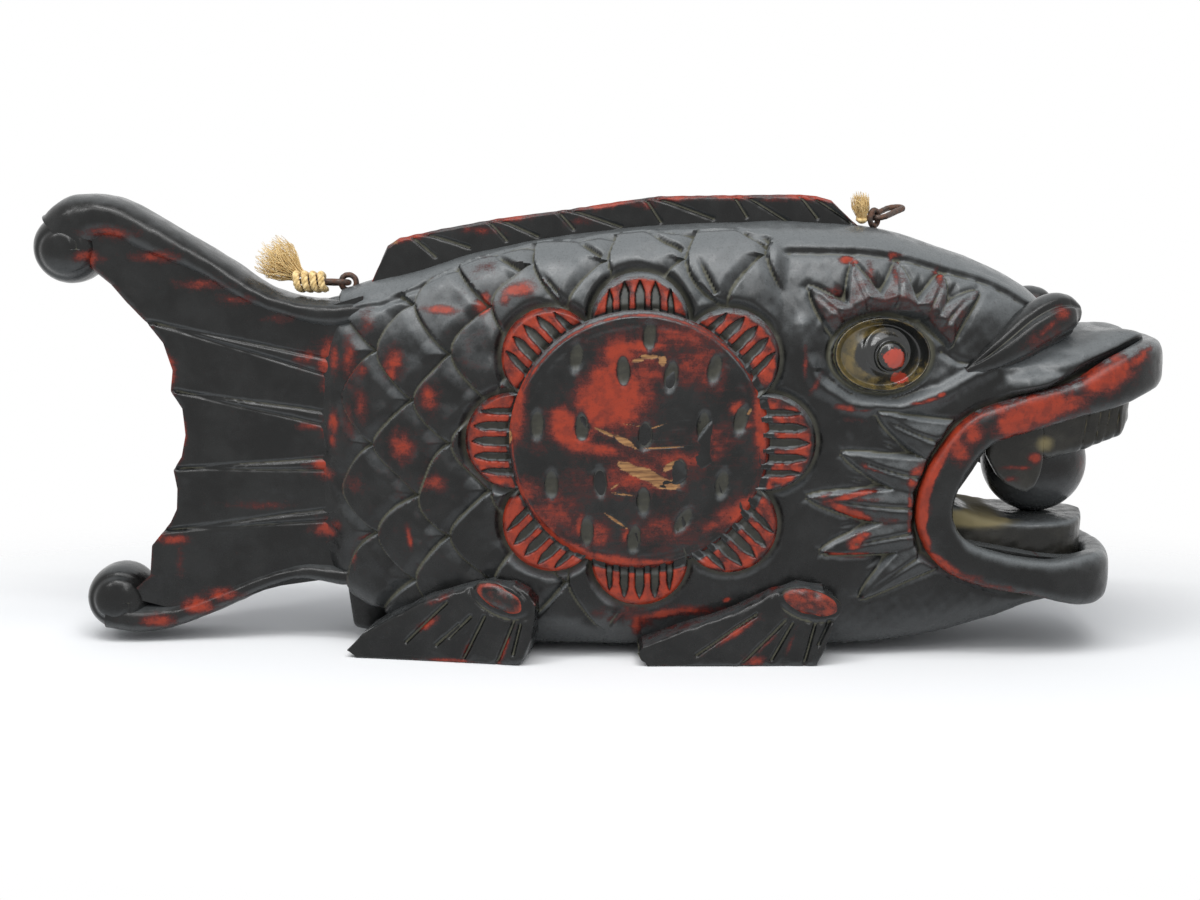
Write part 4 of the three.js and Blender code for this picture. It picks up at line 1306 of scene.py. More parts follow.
    def height(self, points: Array) -> Array:
        """Height of the carving over the plain trunk at points of its skin.

        Args:
            points: points of the plain skin.

        Returns:
            The height at each point.
        """
        x, y, z = np.moveaxis(points, -1, 0)
        band = self.band(points)
        wx, wz, scaled = self.scaled(points)
        total = self.scales.relief(wx, wz)[0] * scaled
        edge = along(x, self.band_edge)
        middle = (self.form.line(x, 1) + self.form.line(x, 2)) / 2.0
        high = (z > middle) * smooth(-136.0, -124.0, x) * smooth(230.0, 216.0, x)
        finer = smooth(86.0, 98.0, x)
        total += self.band_step * band
        total -= (1.3 - 0.5 * finer) * bump(np.abs(y) - edge - 1.5, 1.1 - 0.4 * finer) * high
        for start, end, width, depth in self.cuts:
            away, gone = line_place(x, z, start, end)
            shown = smooth(1.04, 1.0, gone) * (z > middle)
            total -= depth * smooth(0.0, 0.5, gone) * bump(away, width) * shown
        outside = self.petals(x, z)
        total *= smooth(0.0, 4.0, outside) * 0.85 + 0.15
        total -= welt(np.maximum(outside - 1.2, 0.0), self.petal_moat) * smooth(-12.0, -4.0, outside)
        share = self.eye_share(x, z)
        face = smooth(88.0, 104.0, x)
        fold = line_distance(x, z, self.lid_fold)
        within = smooth(1.55, 1.1, share)
        total -= self.eye_bed * within * face
        total += welt(fold, self.lid_ridge) * face
        total += self.nostril_bed.at(x, z) * (np.abs(y) > self.back_half)
        below = (share > 1.2) * (z < 150) * face
        total -= welt(line_distance(x, z - 5.5, self.lid_fold), self.lid_cut) * below
        total += welt(line_distance(x, z, self.brow_arc), self.brow_ridge) * face
        total -= welt(share - 1.07, self.eye_gap) * face
        total = np.where(share < 1.0, -self.socket * smooth(1.0, 0.93, share), total)
        total += self.tongues(x, z, self.brow, self.brow_height) * smooth(1.10, 1.15, share)
        lip = line_distance(x, z, self.lip_edge)
        total += self.tongues(x, z, self.cheek, self.cheek_height) * smooth(1.5, 4.0, lip)
        over = smooth(-2.0, 3.0, z - along(x, self.lip_edge[6::-1])) * smooth(196.0, 214.0, x)
        swell = self.lip_swell * smooth(22.0, 3.0, lip) * over
        total += swell * smooth(6.0, 20.0, np.abs(y)) * smooth(288.0, 276.0, x)
        total -= (0.9 + 2.2 * smooth(138.0, 124.0, z)) * bump(lip, 2.4 - over)
        for points_of, depth, width in self.creases:
            total -= depth * bump(line_distance(x, z, points_of), width)
        rubbed_x, rubbed_y, wide_x, wide_y, rubbed_deep = self.link_rub
        total -= rubbed_deep * bump(x - rubbed_x, wide_x) * bump(y - rubbed_y, wide_y)
        chiselled = face * (1.0 - band) * smooth(1.15, 1.5, share)
        total += (0.04 + 0.05 * chiselled) * Ripple(7, 6.5, 12).at(x, y, z)
        total += 0.26 * Ripple(9, 34.0).at(x, y, z) + 0.08 * Ripple(11, 13.0, 10).at(x, y, z)
        return total


TRUNK_WEAR = patches(
    (45.9, 26.5, 18, 4, 0.5), (20.5, 20.7, 8, 6, 0.45), (-129, 120.6, 5, 12, 0.4),
    (-128.6, 151.5, 6, 14, 0.5),
    (-143, 92, 5, 4, 0.62), (-142.3, 60.6, 5, 4, 0.62),
    (116, 187, 6, 4, 0.42), (136, 196, 3, 7, 0.45), (148, 196, 2, 8, 0.45), (171, 195, 2.5, 5, 0.6),
    (240, 172, 9, 5, 0.34), (220, 199, 14, 3, 0.3), (-60, 160, 30, 40, 0.14), (-100, 100, 30, 50, 0.14),
    (-81.1, 178.4, 8.9, 2.5, 0.78, -3), (-59, 180.1, 4.9, 4.6, 0.85, -40), (-57.1, 184.9, 2.6, 3.2, 0.6),
    (-40.9, 188.8, 9.5, 3.7, 0.8, 10), (-47.9, 184.5, 3.2, 3.7, 0.7), (-58.7, 198.8, 7.2, 5.8, 0.34),
    (-104.9, 152.5, 6.6, 10.1, 0.56), (-105.8, 146.2, 4.6, 3.7, 0.66), (-86, 134.3, 6.6, 8.1, 0.6),
    (-119.2, 171.9, 5.8, 7.2, 0.4), (-121, 146.8, 4.9, 5.2, 0.46), (-122.5, 128.9, 4.9, 11.5, 0.48),
    (-100.7, 109.5, 7.8, 9.5, 0.64), (-84.7, 90.8, 7.8, 4.9, 0.62), (-97.7, 62, 1.7, 6.6, 0.68, 10),
    (-121.4, 60.2, 7.2, 1.4, 0.5, 25), (-128.2, 47.8, 2.3, 7.2, 0.42), (-127, 88.1, 8.6, 7.2, 0.32),
    (18.6, 17.8, 3.2, 7.2, 0.75), (6.4, 22, 4.3, 2.3, 0.35), (-22.5, 154.3, 5.8, 2, 0.3),
    (-55.3, 171, 5.8, 8.6, 0.2), (-137.3, 151.6, 3.3, 8.1, 0.72), (-138.5, 119.2, 3.3, 7.6, 0.78),
    (-138.6, 109.3, 3.0, 4.8, 0.6), (-138.2, 64.7, 3.3, 3.2, 0.6), (33.2, 24.7, 15.9, 2.9, 0.78, 12),
    (15.3, 26.3, 11.5, 4.9, 0.42, 12), (64.3, 32, 2, 1.3, 0.9, 15), (0, 26.2, 5.8, 4.3, 0.3),
    (124.5, 203.2, 4, 2.3, 0.95), (128.3, 202.2, 2, 1.2, 0.8), (148.6, 204.8, 3.5, 2.6, 0.95),
    (152.1, 205.6, 1.7, 1.4, 0.8), (102, 152.1, 1.4, 10.1, 0.5), (107, 142.2, 1.7, 7.2, 0.45, -30),
    (122.9, 130.7, 6.3, 1.7, 0.78, -10), (131.1, 129.4, 4.3, 1.2, 0.5), (160.1, 133.1, 5.8, 1, 0.66, 5),
    (165.2, 134.7, 5.8, 1.2, 0.7, 12), (170.5, 137.3, 2.6, 1.3, 0.85, 20),
    (125.8, 86.3, 14.4, 1.6, 0.88, 12), (122.2, 79.5, 8.6, 2.3, 1, -28), (129.9, 76.2, 7.2, 2.9, 1.05, -25),
    (133.5, 84.5, 8.6, 1.4, 0.5), (129, 62.6, 4.9, 3.2, 0.98, 40), (134, 66.5, 2.9, 1.7, 0.6),
    (121.5, 56.1, 8.6, 1.2, 0.85, -3), (130.4, 55.5, 7.2, 2, 0.92), (132.4, 101.8, 3.7, 1.7, 0.5, -20),
    (138.2, 99.2, 5.8, 0.9, 0.5, -20), (158.5, 98.9, 2.9, 5.8, 0.6, -50), (156.2, 93.2, 2.3, 4.3, 0.66),
    (155.6, 79.7, 1.4, 15.9, 0.55), (145.3, 73.4, 8.6, 2.6, 0.4), (113.1, 86.6, 5.8, 1.2, 0.5, 20),
    (127.4, 124.6, 8.6, 1.7, 0.28),
)


@dataclass
class Trunk:
    """The trunk in four lengths end to end, with its mouth and its sound chamber cut out."""

    carving: Carving = field(default_factory=Carving)
    around: int = 280
    lengths: tuple[tuple[str, float, float, int], ...] = (
        ("trunk_rear", -144.0, -20.0, 160), ("trunk_middle", -20.0, 98.0, 120), ("face", 98.0, 199.0, 140),
        ("snout", 199.0, 290.0, 110),
    )
    mouth: tuple[Point, ...] = (
        (330, 142), (290, 140), (262, 133), (231, 122), (206, 117), (196, 111), (188, 98), (181, 88),
        (177.5, 78), (180, 67), (188, 60), (224, 53), (250, 50), (258, 46), (260, 38), (260, -10), (330, -10),
    )
    chamber: tuple[float, float, float, float, float, float] = (-72, 142, -27, 27, 32, 166)
    slot: tuple[float, float, float, float, float, float] = (-46, 106, -9, 9, -20, 40)

    def paint(self, place: Array, sharp: Array) -> dict[str, Array]:
        """Masks of wear and grime over the trunk.

        Args:
            place: corners of the piece.
            sharp: how sharp each corner is.

        Returns:
            The masks by name.
        """
        x, y, z = place.T
        seam = np.min([np.abs(x - start) for _, start, _, _ in self.lengths[1:]], axis=0) < 0.4
        masks = edge_masks(np.where(seam, 0.0, sharp), worn(x, z, TRUNK_WEAR))
        moat = bump(np.maximum(self.carving.petals(x, z) - 1.0, 0.0), 2.0) * (np.abs(y) > 30.0)
        share = self.carving.eye_share(x, z)
        lip = bump(line_distance(x, z, self.carving.lip_edge), 3.5)
        outer = np.abs(y) > self.carving.back_half
        wx, wz, scaled = self.carving.scaled(place)
        dusty = 0.50 + 0.16 * Ripple(13, 30.0).at(x, z)
        gutters = dusty * self.carving.scales.relief(wx, wz)[1] * scaled
        for dirt in (0.55 * moat, 0.75 * bump(share - 1.08, 0.07) * outer, 0.5 * lip, gutters):
            masks["grime"] = np.maximum(masks["grime"], dirt)
        leaf = np.max([tongue.shape(x, z)[0] for tongue in self.carving.brow], axis=0)
        masks["wear"] = np.maximum(masks["wear"], 0.26 * smooth(0.0, 1.5, leaf) * outer)
        masks["wear"] *= 1.0 - 0.9 * self.carving.band(place)
        masks["wear"] *= 1.0 - smooth(222.0, 232.0, x) * smooth(20.0, 12.0, np.abs(y))
        return masks

    def box(self, name: str, sizes: tuple[float, ...]) -> bpy.types.Object:
        """A plain block between six faces, for cutting.

        Args:
            name: name of the block.
            sizes: low and high face along X, Y and Z.

        Returns:
            The block.
        """
        deselect()
        bpy.ops.mesh.primitive_cube_add(size=1.0)
        block = bpy.context.object
        block.name = name
        x0, x1, y0, y1, z0, z1 = sizes
        for vertex in block.data.vertices:
            vertex.co = Vector((
                x1 if vertex.co.x > 0 else x0, y1 if vertex.co.y > 0 else y0, z1 if vertex.co.z > 0 else z0,
            )) * MM
        return block

    def make(self, shop: Shop) -> None:
        """Make every length of the trunk.

        Args:
            shop: finishes and seats the pieces.
        """
        places = [np.linspace(start, end, count + 1) for _, start, end, count in self.lengths]
        rows = self.carving.form.rows(np.unique(np.concatenate(places)), self.around)
        rows = raised(rows, self.carving.height(rows))
        mouth = plank("mouth_tool", self.mouth, -90.0, 90.0, 0.0)
        hollow = self.box("chamber_tool", self.chamber)
        rim = hollow.modifiers.new("rim", "BEVEL")
        rim.width = 14.0 * MM
        rim.segments = 6
        way = hollow.modifiers.new("way", "BOOLEAN")
        way.object = self.box("slot_tool", self.slot)
        way.operation = "UNION"
        apply_all(hollow)
        tools = {
            "trunk_rear": (hollow,), "trunk_middle": (hollow,), "face": (hollow, mouth), "snout": (mouth,),
        }
        begin = 0
        for name, _, _, count in self.lengths:
            piece = shaped_grid(name, rows[begin:begin + count + 1])
            begin += count
            for tool in tools[name]:
                cut(piece, tool)
            shop.fit(piece, Finish.LACQUER, paint=self.paint)
        for tool in (mouth, hollow, bpy.data.objects["slot_tool"]):
            bpy.data.objects.remove(tool, do_unlink=True)


# The struck medallion and its petals


@dataclass
class Medallion:
    """Lotus seed head on each flank: a worn disc with seed pits inside a ring of ribbed petals."""

    form: TrunkForm = TrunkForm()
    x: float = Carving.medallion[0]
    z: float = Carving.medallion[1]
    radius: float = 65.5
    face: float = 56.5
    root: float = 40.0
    crown: float = 1.6
    reach: Point = Carving.petal_reach
    petal_radius: float = Carving.petal_radius
    stand: float = 3.8
    disc_line: Point = (0.45, 1.6)
    line_at: float = 0.905
    petal_rim: Point = (0.6, 1.8)
    slot_depth: float = 2.3
    pit: Place = (4.5, 9.3, 2.2)
    pits: tuple[Place, ...] = (
        (-11.7, 156.5, -8), (24.6, 167.0, -3), (11.7, 149.7, 2), (35.2, 147.2, -10), (56.8, 150.9, -12),
        (-31.3, 122.8, -4), (-8.9, 121.6, 0), (22.6, 117.2, -3), (51.6, 122.2, -4), (70.2, 125.3, -14),
        (-24.4, 92.5, 2), (0.0, 93.8, 4), (39.9, 98.8, 0), (61.2, 93.1, -12), (-6.5, 68.2, 0),
        (17.0, 64.4, -8), (41.6, 74.0, -32), (21.9, 84.2, 0),
    )
    red: tuple[Patch, ...] = patches(
        (6.2, 135.4, 20.2, 14.4, 1), (2.5, 144.1, 10.1, 8.6, 0.95), (9.3, 156.5, 10.1, 10.1, 0.72),
        (19.7, 162.1, 15.9, 3.2, 0.7), (-18.6, 124.1, 7.9, 10.8, 0.85), (-14.3, 117.8, 10.8, 5.8, 0.85),
        (-5, 110.9, 17.3, 4.3, 0.62, -8), (-42.1, 135.4, 4.6, 20.2, 0.95),
        (-38.3, 149.1, 4.9, 10.1, 0.85, -15), (-32.7, 159.6, 7.2, 5.8, 0.7, 45),
        (80.9, 131.6, 4.3, 24.5, 1), (77.9, 149.1, 3.6, 8.6, 0.8), (68.2, 131.6, 4.3, 3.7, 0.75, 30),
        (73.3, 122.8, 6.5, 2.6, 0.5), (68.9, 78.5, 13.7, 6.1, 0.82, 30), (57.7, 72.1, 8.6, 3.7, 0.5, 30),
        (-26.4, 66.9, 8.6, 3.7, 0.8, -45), (-12.6, 58.6, 14.4, 3.5, 0.85, -25),
        (7.6, 53.4, 15.9, 2.9, 0.8, -8), (27.7, 52.5, 11.5, 1.7, 0.6), (-37.5, 90, 8.6, 7.2, 0.5),
        (-21.3, 77.2, 15.9, 13, 0.44), (-2.5, 68.2, 7.2, 8.6, 0.5), (-9.4, 72.7, 2.9, 5.8, 0.85),
        (13.8, 66.3, 3.2, 3.7, 0.75), (54.8, 106.4, 8.6, 2.6, 0.55), (53.6, 110.2, 1.4, 8.6, 0.5),
        (50.6, 152.8, 18.7, 13, 0.4), (44.3, 166.4, 28.8, 8.6, 0.38), (22.2, 150.3, 13, 8.6, 0.42),
        (-9.9, 164, 8.6, 8.6, 0.3), (15, 97.6, 31.7, 13, 0.42), (39.9, 105.2, 21.6, 5.8, 0.45),
        (57.2, 115.3, 11.5, 8.6, 0.36), (32.6, 70.8, 17.3, 10.1, 0.34), (-29.9, 110.2, 8.6, 5.8, 0.3),
    )
    black: tuple[Patch, ...] = patches(
        (-23.5, 150.3, 14.4, 15.9, 1), (-10.5, 160.2, 8.6, 10.1, 0.9), (-22.9, 136, 6.1, 6.5, 1),
        (69.2, 150.3, 8.6, 14.4, 0.9), (39.7, 129.1, 18.7, 11.5, 1), (-29.9, 105.2, 18.7, 8.6, 0.9),
        (-2.5, 101.4, 10.1, 5.8, 0.8), (7.5, 81, 28.8, 7.2, 0.7), (61.2, 92.5, 13, 21.6, 0.6),
        (-14.9, 130.4, 3.2, 4.3, 0.8),
    )
    wood: tuple[Patch, ...] = patches(
        (18.5, 155, 4.3, 1.4, 0.95, 10), (24.7, 156.8, 7.2, 1.4, 0.85), (30.9, 154.7, 2.3, 3.2, 0.95),
        (2.5, 119.1, 7.2, 1.2, 0.8, -25), (11.8, 115, 6.6, 1.9, 0.95, -28),
        (16.1, 122.8, 8.6, 0.6, 0.7, -8), (28.6, 122.2, 6.5, 0.6, 0.7, 20),
        (16.2, 112.1, 5.8, 0.7, 0.7, -30), (15, 100.7, 8.6, 3.2, 1, -25),
        (23.7, 97.6, 11.5, 3.7, 1.05, -22), (32.5, 93.1, 8.6, 3.2, 1, -10), (34.9, 102, 5.8, 2, 0.95, 35),
        (12.5, 101.4, 3.7, 2.6, 0.9), (11.9, 87.7, 8.6, 1, 0.8, -8), (8.2, 74, 8.6, 0.9, 0.95, -35),
        (32.4, 111.5, 20.2, 0.6, 0.75, 3), (-45.3, 116.3, 1.7, 3.7, 1.05),
        (74.4, 129.4, 0.9, 2.9, 0.9, -25), (7.5, 91.9, 5.8, 0.9, 0.6, 35),
    )
    petal_slots: tuple[Place, ...] = (
        (-15.4, 2.1, 3.0), (-7.8, 2.7, 4.0), (0.0, 2.8, 4.6), (7.8, 2.7, 4.0), (15.4, 2.1, 3.0),
    )
    petal_wear: tuple[float, ...] = (0.66, 0.74, 0.74, 0.86, 0.84, 0.9, 0.88, 0.72)
    rim_wear: tuple[float, ...] = (0.35, 0.35, 0.25, 0.7, 0.6, 0.9, 1.0, 0.8)

    def disc(self, side: Side) -> Array:
        """Rings of the disc from the middle of its face out, over the rim and in to the flank.

        Args:
            side: which flank.

        Returns:
            The rings.
        """
        turn = full_turn(340)
        rim = 1.0 - 0.045 * np.cos(np.linspace(0.3, 1.57, 8))
        reach = np.concatenate([np.linspace(0.02, 0.955, 66), rim])
        drop = np.concatenate([np.zeros(66), 3.0 * (1.0 - np.sin(np.linspace(1.27, 0.0, 8)))])
        wavy = self.radius * (1.0 + 0.009 * Ripple(21, 1.6, 5).at(np.cos(turn), np.sin(turn)))
        share, sunk = np.append(reach, 1.0)[:, None], np.append(drop, self.face - self.root)[:, None]
        x = self.x + share * wavy * np.cos(turn)
        z = self.z + share * wavy * np.sin(turn)
        line = welt((share - self.line_at) * self.radius, self.disc_line)
        height = self.face - self.crown * share**2 - sunk - (self.dents(x, z) + line) * (share < 0.97)
        return rows_of(x, side.value * height, z)

    def dents(self, x: Array, z: Array) -> Array:
        """Depth of the seed pits, the strike marks and the split grain.

        Args:
            x: places along X.
            z: heights.

        Returns:
            The depth in millimetres.
        """
        wide, high, deep = self.pit
        total = np.zeros(np.shape(x))
        for px, pz, tilt in self.pits:
            a, b = offsets(x, z, (px, pz), tilt)
            total = np.maximum(total, deep * smooth(-0.1, 0.6, 1.0 - np.hypot(a / wide, b / high)))
        bare = worn(x, z, self.wood)
        grain = Ripple(31, 2.4, 14).at(x * 0.06, z)
        total += 0.45 * smooth(0.35, 0.8, bare) * (1.0 + 0.5 * grain)
        total += 0.25 * smooth(0.4, 1.0, worn(x, z, self.red)) + 0.14 * Ripple(33, 15.0).at(x, z)
        return total + 0.06 * Ripple(35, 2.2, 12).at(x * 0.1, z)

    def paint_disc(self, place: Array, sharp: Array) -> dict[str, Array]:
        """Masks of the disc: a thin red rim, mottled red and bare wood where it is struck.

        Args:
            place: corners of the piece.
            sharp: how sharp each corner is.

        Returns:
            The masks by name.
        """
        x, y, z = place.T
        share = np.hypot(x - self.x, z - self.z) / self.radius
        level = np.abs(y) - (self.face - self.crown * share**2)
        rim = 0.60 * bump(share - 0.975, 0.016) * smooth(-3.2, -1.0, level)
        dark = worn(x, z, self.black)
        dents = self.dents(x, z)
        pits = smooth(0.6, 1.5, dents) * (share < 0.9) * smooth(0.5, 0.3, worn(x, z, self.wood))
        red = worn(x, z, self.red) * (1.0 - 0.55 * dark) + 0.14 * (1.0 - dark)
        masks = edge_masks(0.5 * sharp, np.maximum(red, rim) * (1.0 - 0.85 * pits), worn(x, z, self.wood))
        masks["grime"] = np.maximum(0.3 * masks["grime"], 0.50 * pits)
        masks["wear"] = np.where(level < -3.4, 0.0, masks["wear"])
        masks["grime"] = np.where(level < -3.4, 0.45, masks["grime"])
        return masks

    def contour(self, turn: Array) -> tuple[Array, Array]:
        """Outer reach of the petals at each turn, and how near the turn is to a petal's middle.

        Args:
            turn: turns about the middle.

        Returns:
            The reach, and the nearness from -1 to 1.
        """
        reach = np.zeros(np.shape(turn))
        for middle in PETAL_TURNS:
            cx, cz = self.reach[0] * math.cos(middle), self.reach[1] * math.sin(middle)
            forward = cx * np.cos(turn) + cz * np.sin(turn)
            aside = np.abs(-cx * np.sin(turn) + cz * np.cos(turn))
            root = np.sqrt(np.maximum(self.petal_radius**2 - aside**2, 0.0))
            met = (forward > 0.0) & (aside < self.petal_radius)
            reach = np.maximum(reach, np.where(met, forward + root, 0.0))
        near = (np.mod(turn + PETAL_HALF, 2.0 * PETAL_HALF) - PETAL_HALF) / PETAL_HALF
        return reach, near

    def petals(self, side: Side) -> Array:
        """Rings of the petals from under the disc out to the foot of their rims.

        Args:
            side: which flank.

        Returns:
            The rings.
        """
        turn = full_turn(720)
        reach, near = self.contour(turn)
        inner = self.radius - 4.0
        rim = (0.95, 0.965, 0.978, 0.988, 0.995, 1.0, 1.004, 1.008)
        shares = np.concatenate([np.linspace(0.0, 0.93, 34), rim])[:, None]
        span = reach - inner
        out = inner + shares * span
        x = self.x + out * np.cos(turn)
        z = self.z + out * np.sin(turn)
        left = (1.0 - shares) * span
        height = self.stand * rounded(left / 3.0) - 9.0 * (shares > 1.0)
        height += welt(left - 3.2, self.petal_rim) - self.slot_depth * self.slots(out, near, left)
        height -= 1.3 * smooth(0.80, 1.0, np.abs(near)) * smooth(4.0, 12.0, span)
        height -= 1.2 * smooth(inner + 7.5, inner + 4.0, out)
        return rows_of(x, side.value * (self.form.flank(x, z) + height), z)

    def slots(self, out: Array, near: Array, left: Array) -> Array:
        """How deep each place lies in one of the slots cut between the ribs of a petal.

        Args:
            out: distance from the middle.
            near: turn from the middle of the petal, from -1 to 1.
            left: distance to the petal's edge.

        Returns:
            The depth from 0 to 1.
        """
        across = near * PETAL_HALF * out
        total = np.zeros(np.shape(out))
        for place, wide, end in self.petal_slots:
            taper = wide * np.clip((left - end + 1.0) / 6.0, 0.0, 1.0) ** 0.6
            total = np.maximum(total, smooth(0.25, -1.1, np.abs(across - place) - taper) * (taper > 0.05))
        return total

    def paint_petals(self, place: Array, sharp: Array) -> dict[str, Array]:
        """Masks of the petals: red on ribs and rims, dark in the slots, and painted shade in a thin black
        ring at the disc's foot.

        Args:
            place: corners of the piece.
            sharp: how sharp each corner is.

        Returns:
            The masks by name.
        """
        x, _, z = place.T
        turn = np.arctan2(z - self.z, x - self.x)
        out = np.hypot(x - self.x, z - self.z)
        reach, near = self.contour(turn)
        left = reach - out
        slots = self.slots(out, near, left)
        number = np.round(turn / (2.0 * PETAL_HALF)).astype(int) % len(PETAL_TURNS)
        mottled = 0.12 * Ripple(41, 12.0).at(x, z) + 0.10 * Ripple(42, 4.5).at(x, z) - 0.10
        level = (np.array(self.petal_wear)[number] + mottled) * (1.0 - slots)
        rim = np.array(self.rim_wear)[number]
        masks = edge_masks(0.6 * sharp, level * (rim + (1.0 - rim) * smooth(1.6, 4.2, left)) * (left > -0.5))
        masks["wear"] *= 1.0 - 0.8 * smooth(0.84, 1.0, np.abs(near))
        masks["grime"] = np.maximum(0.45 * slots, 0.55 * smooth(0.88, 1.0, np.abs(near)))
        # Painted shade: no red just outside the disc, so a thin black ring stands for the shadow at the
        # disc's foot.
        masks["wear"] *= smooth(self.radius + 0.3, self.radius + 2.0, out)
        return masks

    def make(self, shop: Shop) -> None:
        """Make both medallions.

        Args:
            shop: finishes and seats the pieces.
        """
        for side in Side:
            shop.shape(f"medallion_{side.label}", self.disc(side), Finish.LACQUER, paint=self.paint_disc)
            shop.shape(f"petals_{side.label}", self.petals(side), Finish.LACQUER, paint=self.paint_petals)


@dataclass
class Eye:
    """Gilded eye let into each flank: a thin rim, a hollow iris and a domed pupil in a ring."""

    form: TrunkForm = TrunkForm()
    x: float = Carving.eye[0]
    z: float = Carving.eye[1]
    half_length: float = Carving.eye_half[0]
    half_height: float = Carving.eye_half[1]
    pupil: Point = (4.6, -0.8)
    pupil_radius: float = 7.4
    ring: Point = (3.0, 2.2)
    ring_radius: float = 11.5
    ring_ridge: Point = (0.9, 1.3)
    rim_at: float = 0.955
    rim_ridge: Point = (0.9, 0.03)
    dome: float = 2.6
    let: float = 7.5

    def height(self, a: Array, b: Array, share: Array) -> Array:
        """Height over the flank at offsets along and up from the eye's middle.

        Args:
            a: offsets along.
            b: offsets up.
            share: share of the way to the rim.

        Returns:
            The height in millimetres.
        """
        total = 2.2 - 5.2 * smooth(0.97, 0.80, share) + 4.6 * smooth(0.9, 0.25, share)
        total += welt(share - self.rim_at, self.rim_ridge) - 3.5 * smooth(0.985, 1.0, share)
        around = np.hypot(a - self.ring[0], b - self.ring[1]) - self.ring_radius
        total = total + welt(around, self.ring_ridge)
        inside = np.hypot(a - self.pupil[0], b - self.pupil[1]) / self.pupil_radius
        total += self.dome * np.sqrt(np.clip(1.0 - inside**2, 0.0, 1.0)) - 0.7 * bump(inside - 1.08, 0.12)
        return total

    def rows(self, side: Side) -> Array:
        """Rings of the eye from its middle out and in behind its rim.

        Args:
            side: which flank.

        Returns:
            The rings.
        """
        centre, forward, out, up = self.form.on_flank(self.x, self.z, side)
        turn = full_turn(240)
        share = np.concatenate([np.linspace(0.02, 0.9, 56), np.linspace(0.91, 1.0, 14), [1.0]])[:, None]
        a = share * self.half_length * np.cos(turn)
        b = share * self.half_height * np.sin(turn)
        lift = self.height(a, b, share)
        lift[-1] = -self.let
        return centre + a[..., None] * forward + b[..., None] * up + lift[..., None] * out

    def painter(self, side: Side) -> Painter:
        """Masks of one eye.

        Args:
            side: which flank.

        Returns:
            What paints that eye.
        """
        centre, forward, _, up = self.form.on_flank(self.x, self.z, side)

        def paint(place: Array, sharp: Array) -> dict[str, Array]:
            """Gilt on the iris, strongest behind, and red low on the pupil's front.

            Args:
                place: corners of the piece.
                sharp: how sharp each corner is; not used.

            Returns:
                The masks by name.
            """
            a, b = (place - centre) @ forward, (place - centre) @ up
            share = np.hypot(a / self.half_length, b / self.half_height)
            iris = smooth(0.50, 0.62, share) * smooth(0.99, 0.95, share)
            rim = bump(share - self.rim_at, self.rim_ridge[1])
            behind = smooth(12.0, -16.0, a)
            under = smooth(6.0, -12.0, b) * smooth(0.6, 0.8, share)
            inside = np.hypot(a - self.pupil[0] - 1.0, b - self.pupil[1] + 1.2) / self.pupil_radius
            patch = 1.1 * np.exp(-(((a - 5.5) / 6.0) ** 2) - ((b + 2.5) / 5.2) ** 2)
            drip = 1.0 * np.exp(-(((a - 9.0) / 5.6) ** 2) - ((b + 11.5) / 3.4) ** 2)
            return {
                "gilt": np.maximum(iris * np.maximum(0.1 + 0.9 * behind, 0.6 * under), 0.45 * rim),
                "wear": np.maximum(patch * smooth(1.25, 0.95, inside), drip),
                "grime": np.maximum(0.5 * bump(inside - 1.1, 0.1), 0.8 * smooth(0.975, 1.0, share)),
            }

        return paint

    def make(self, shop: Shop) -> None:
        """Make both eyes.

        Args:
            shop: finishes and seats the pieces.
        """
        for side in Side:
            node = f"eye_{side.label}"
            shop.shape(f"{node}_boss", self.rows(side), Finish.GILDING, node, paint=self.painter(side))


# The tail


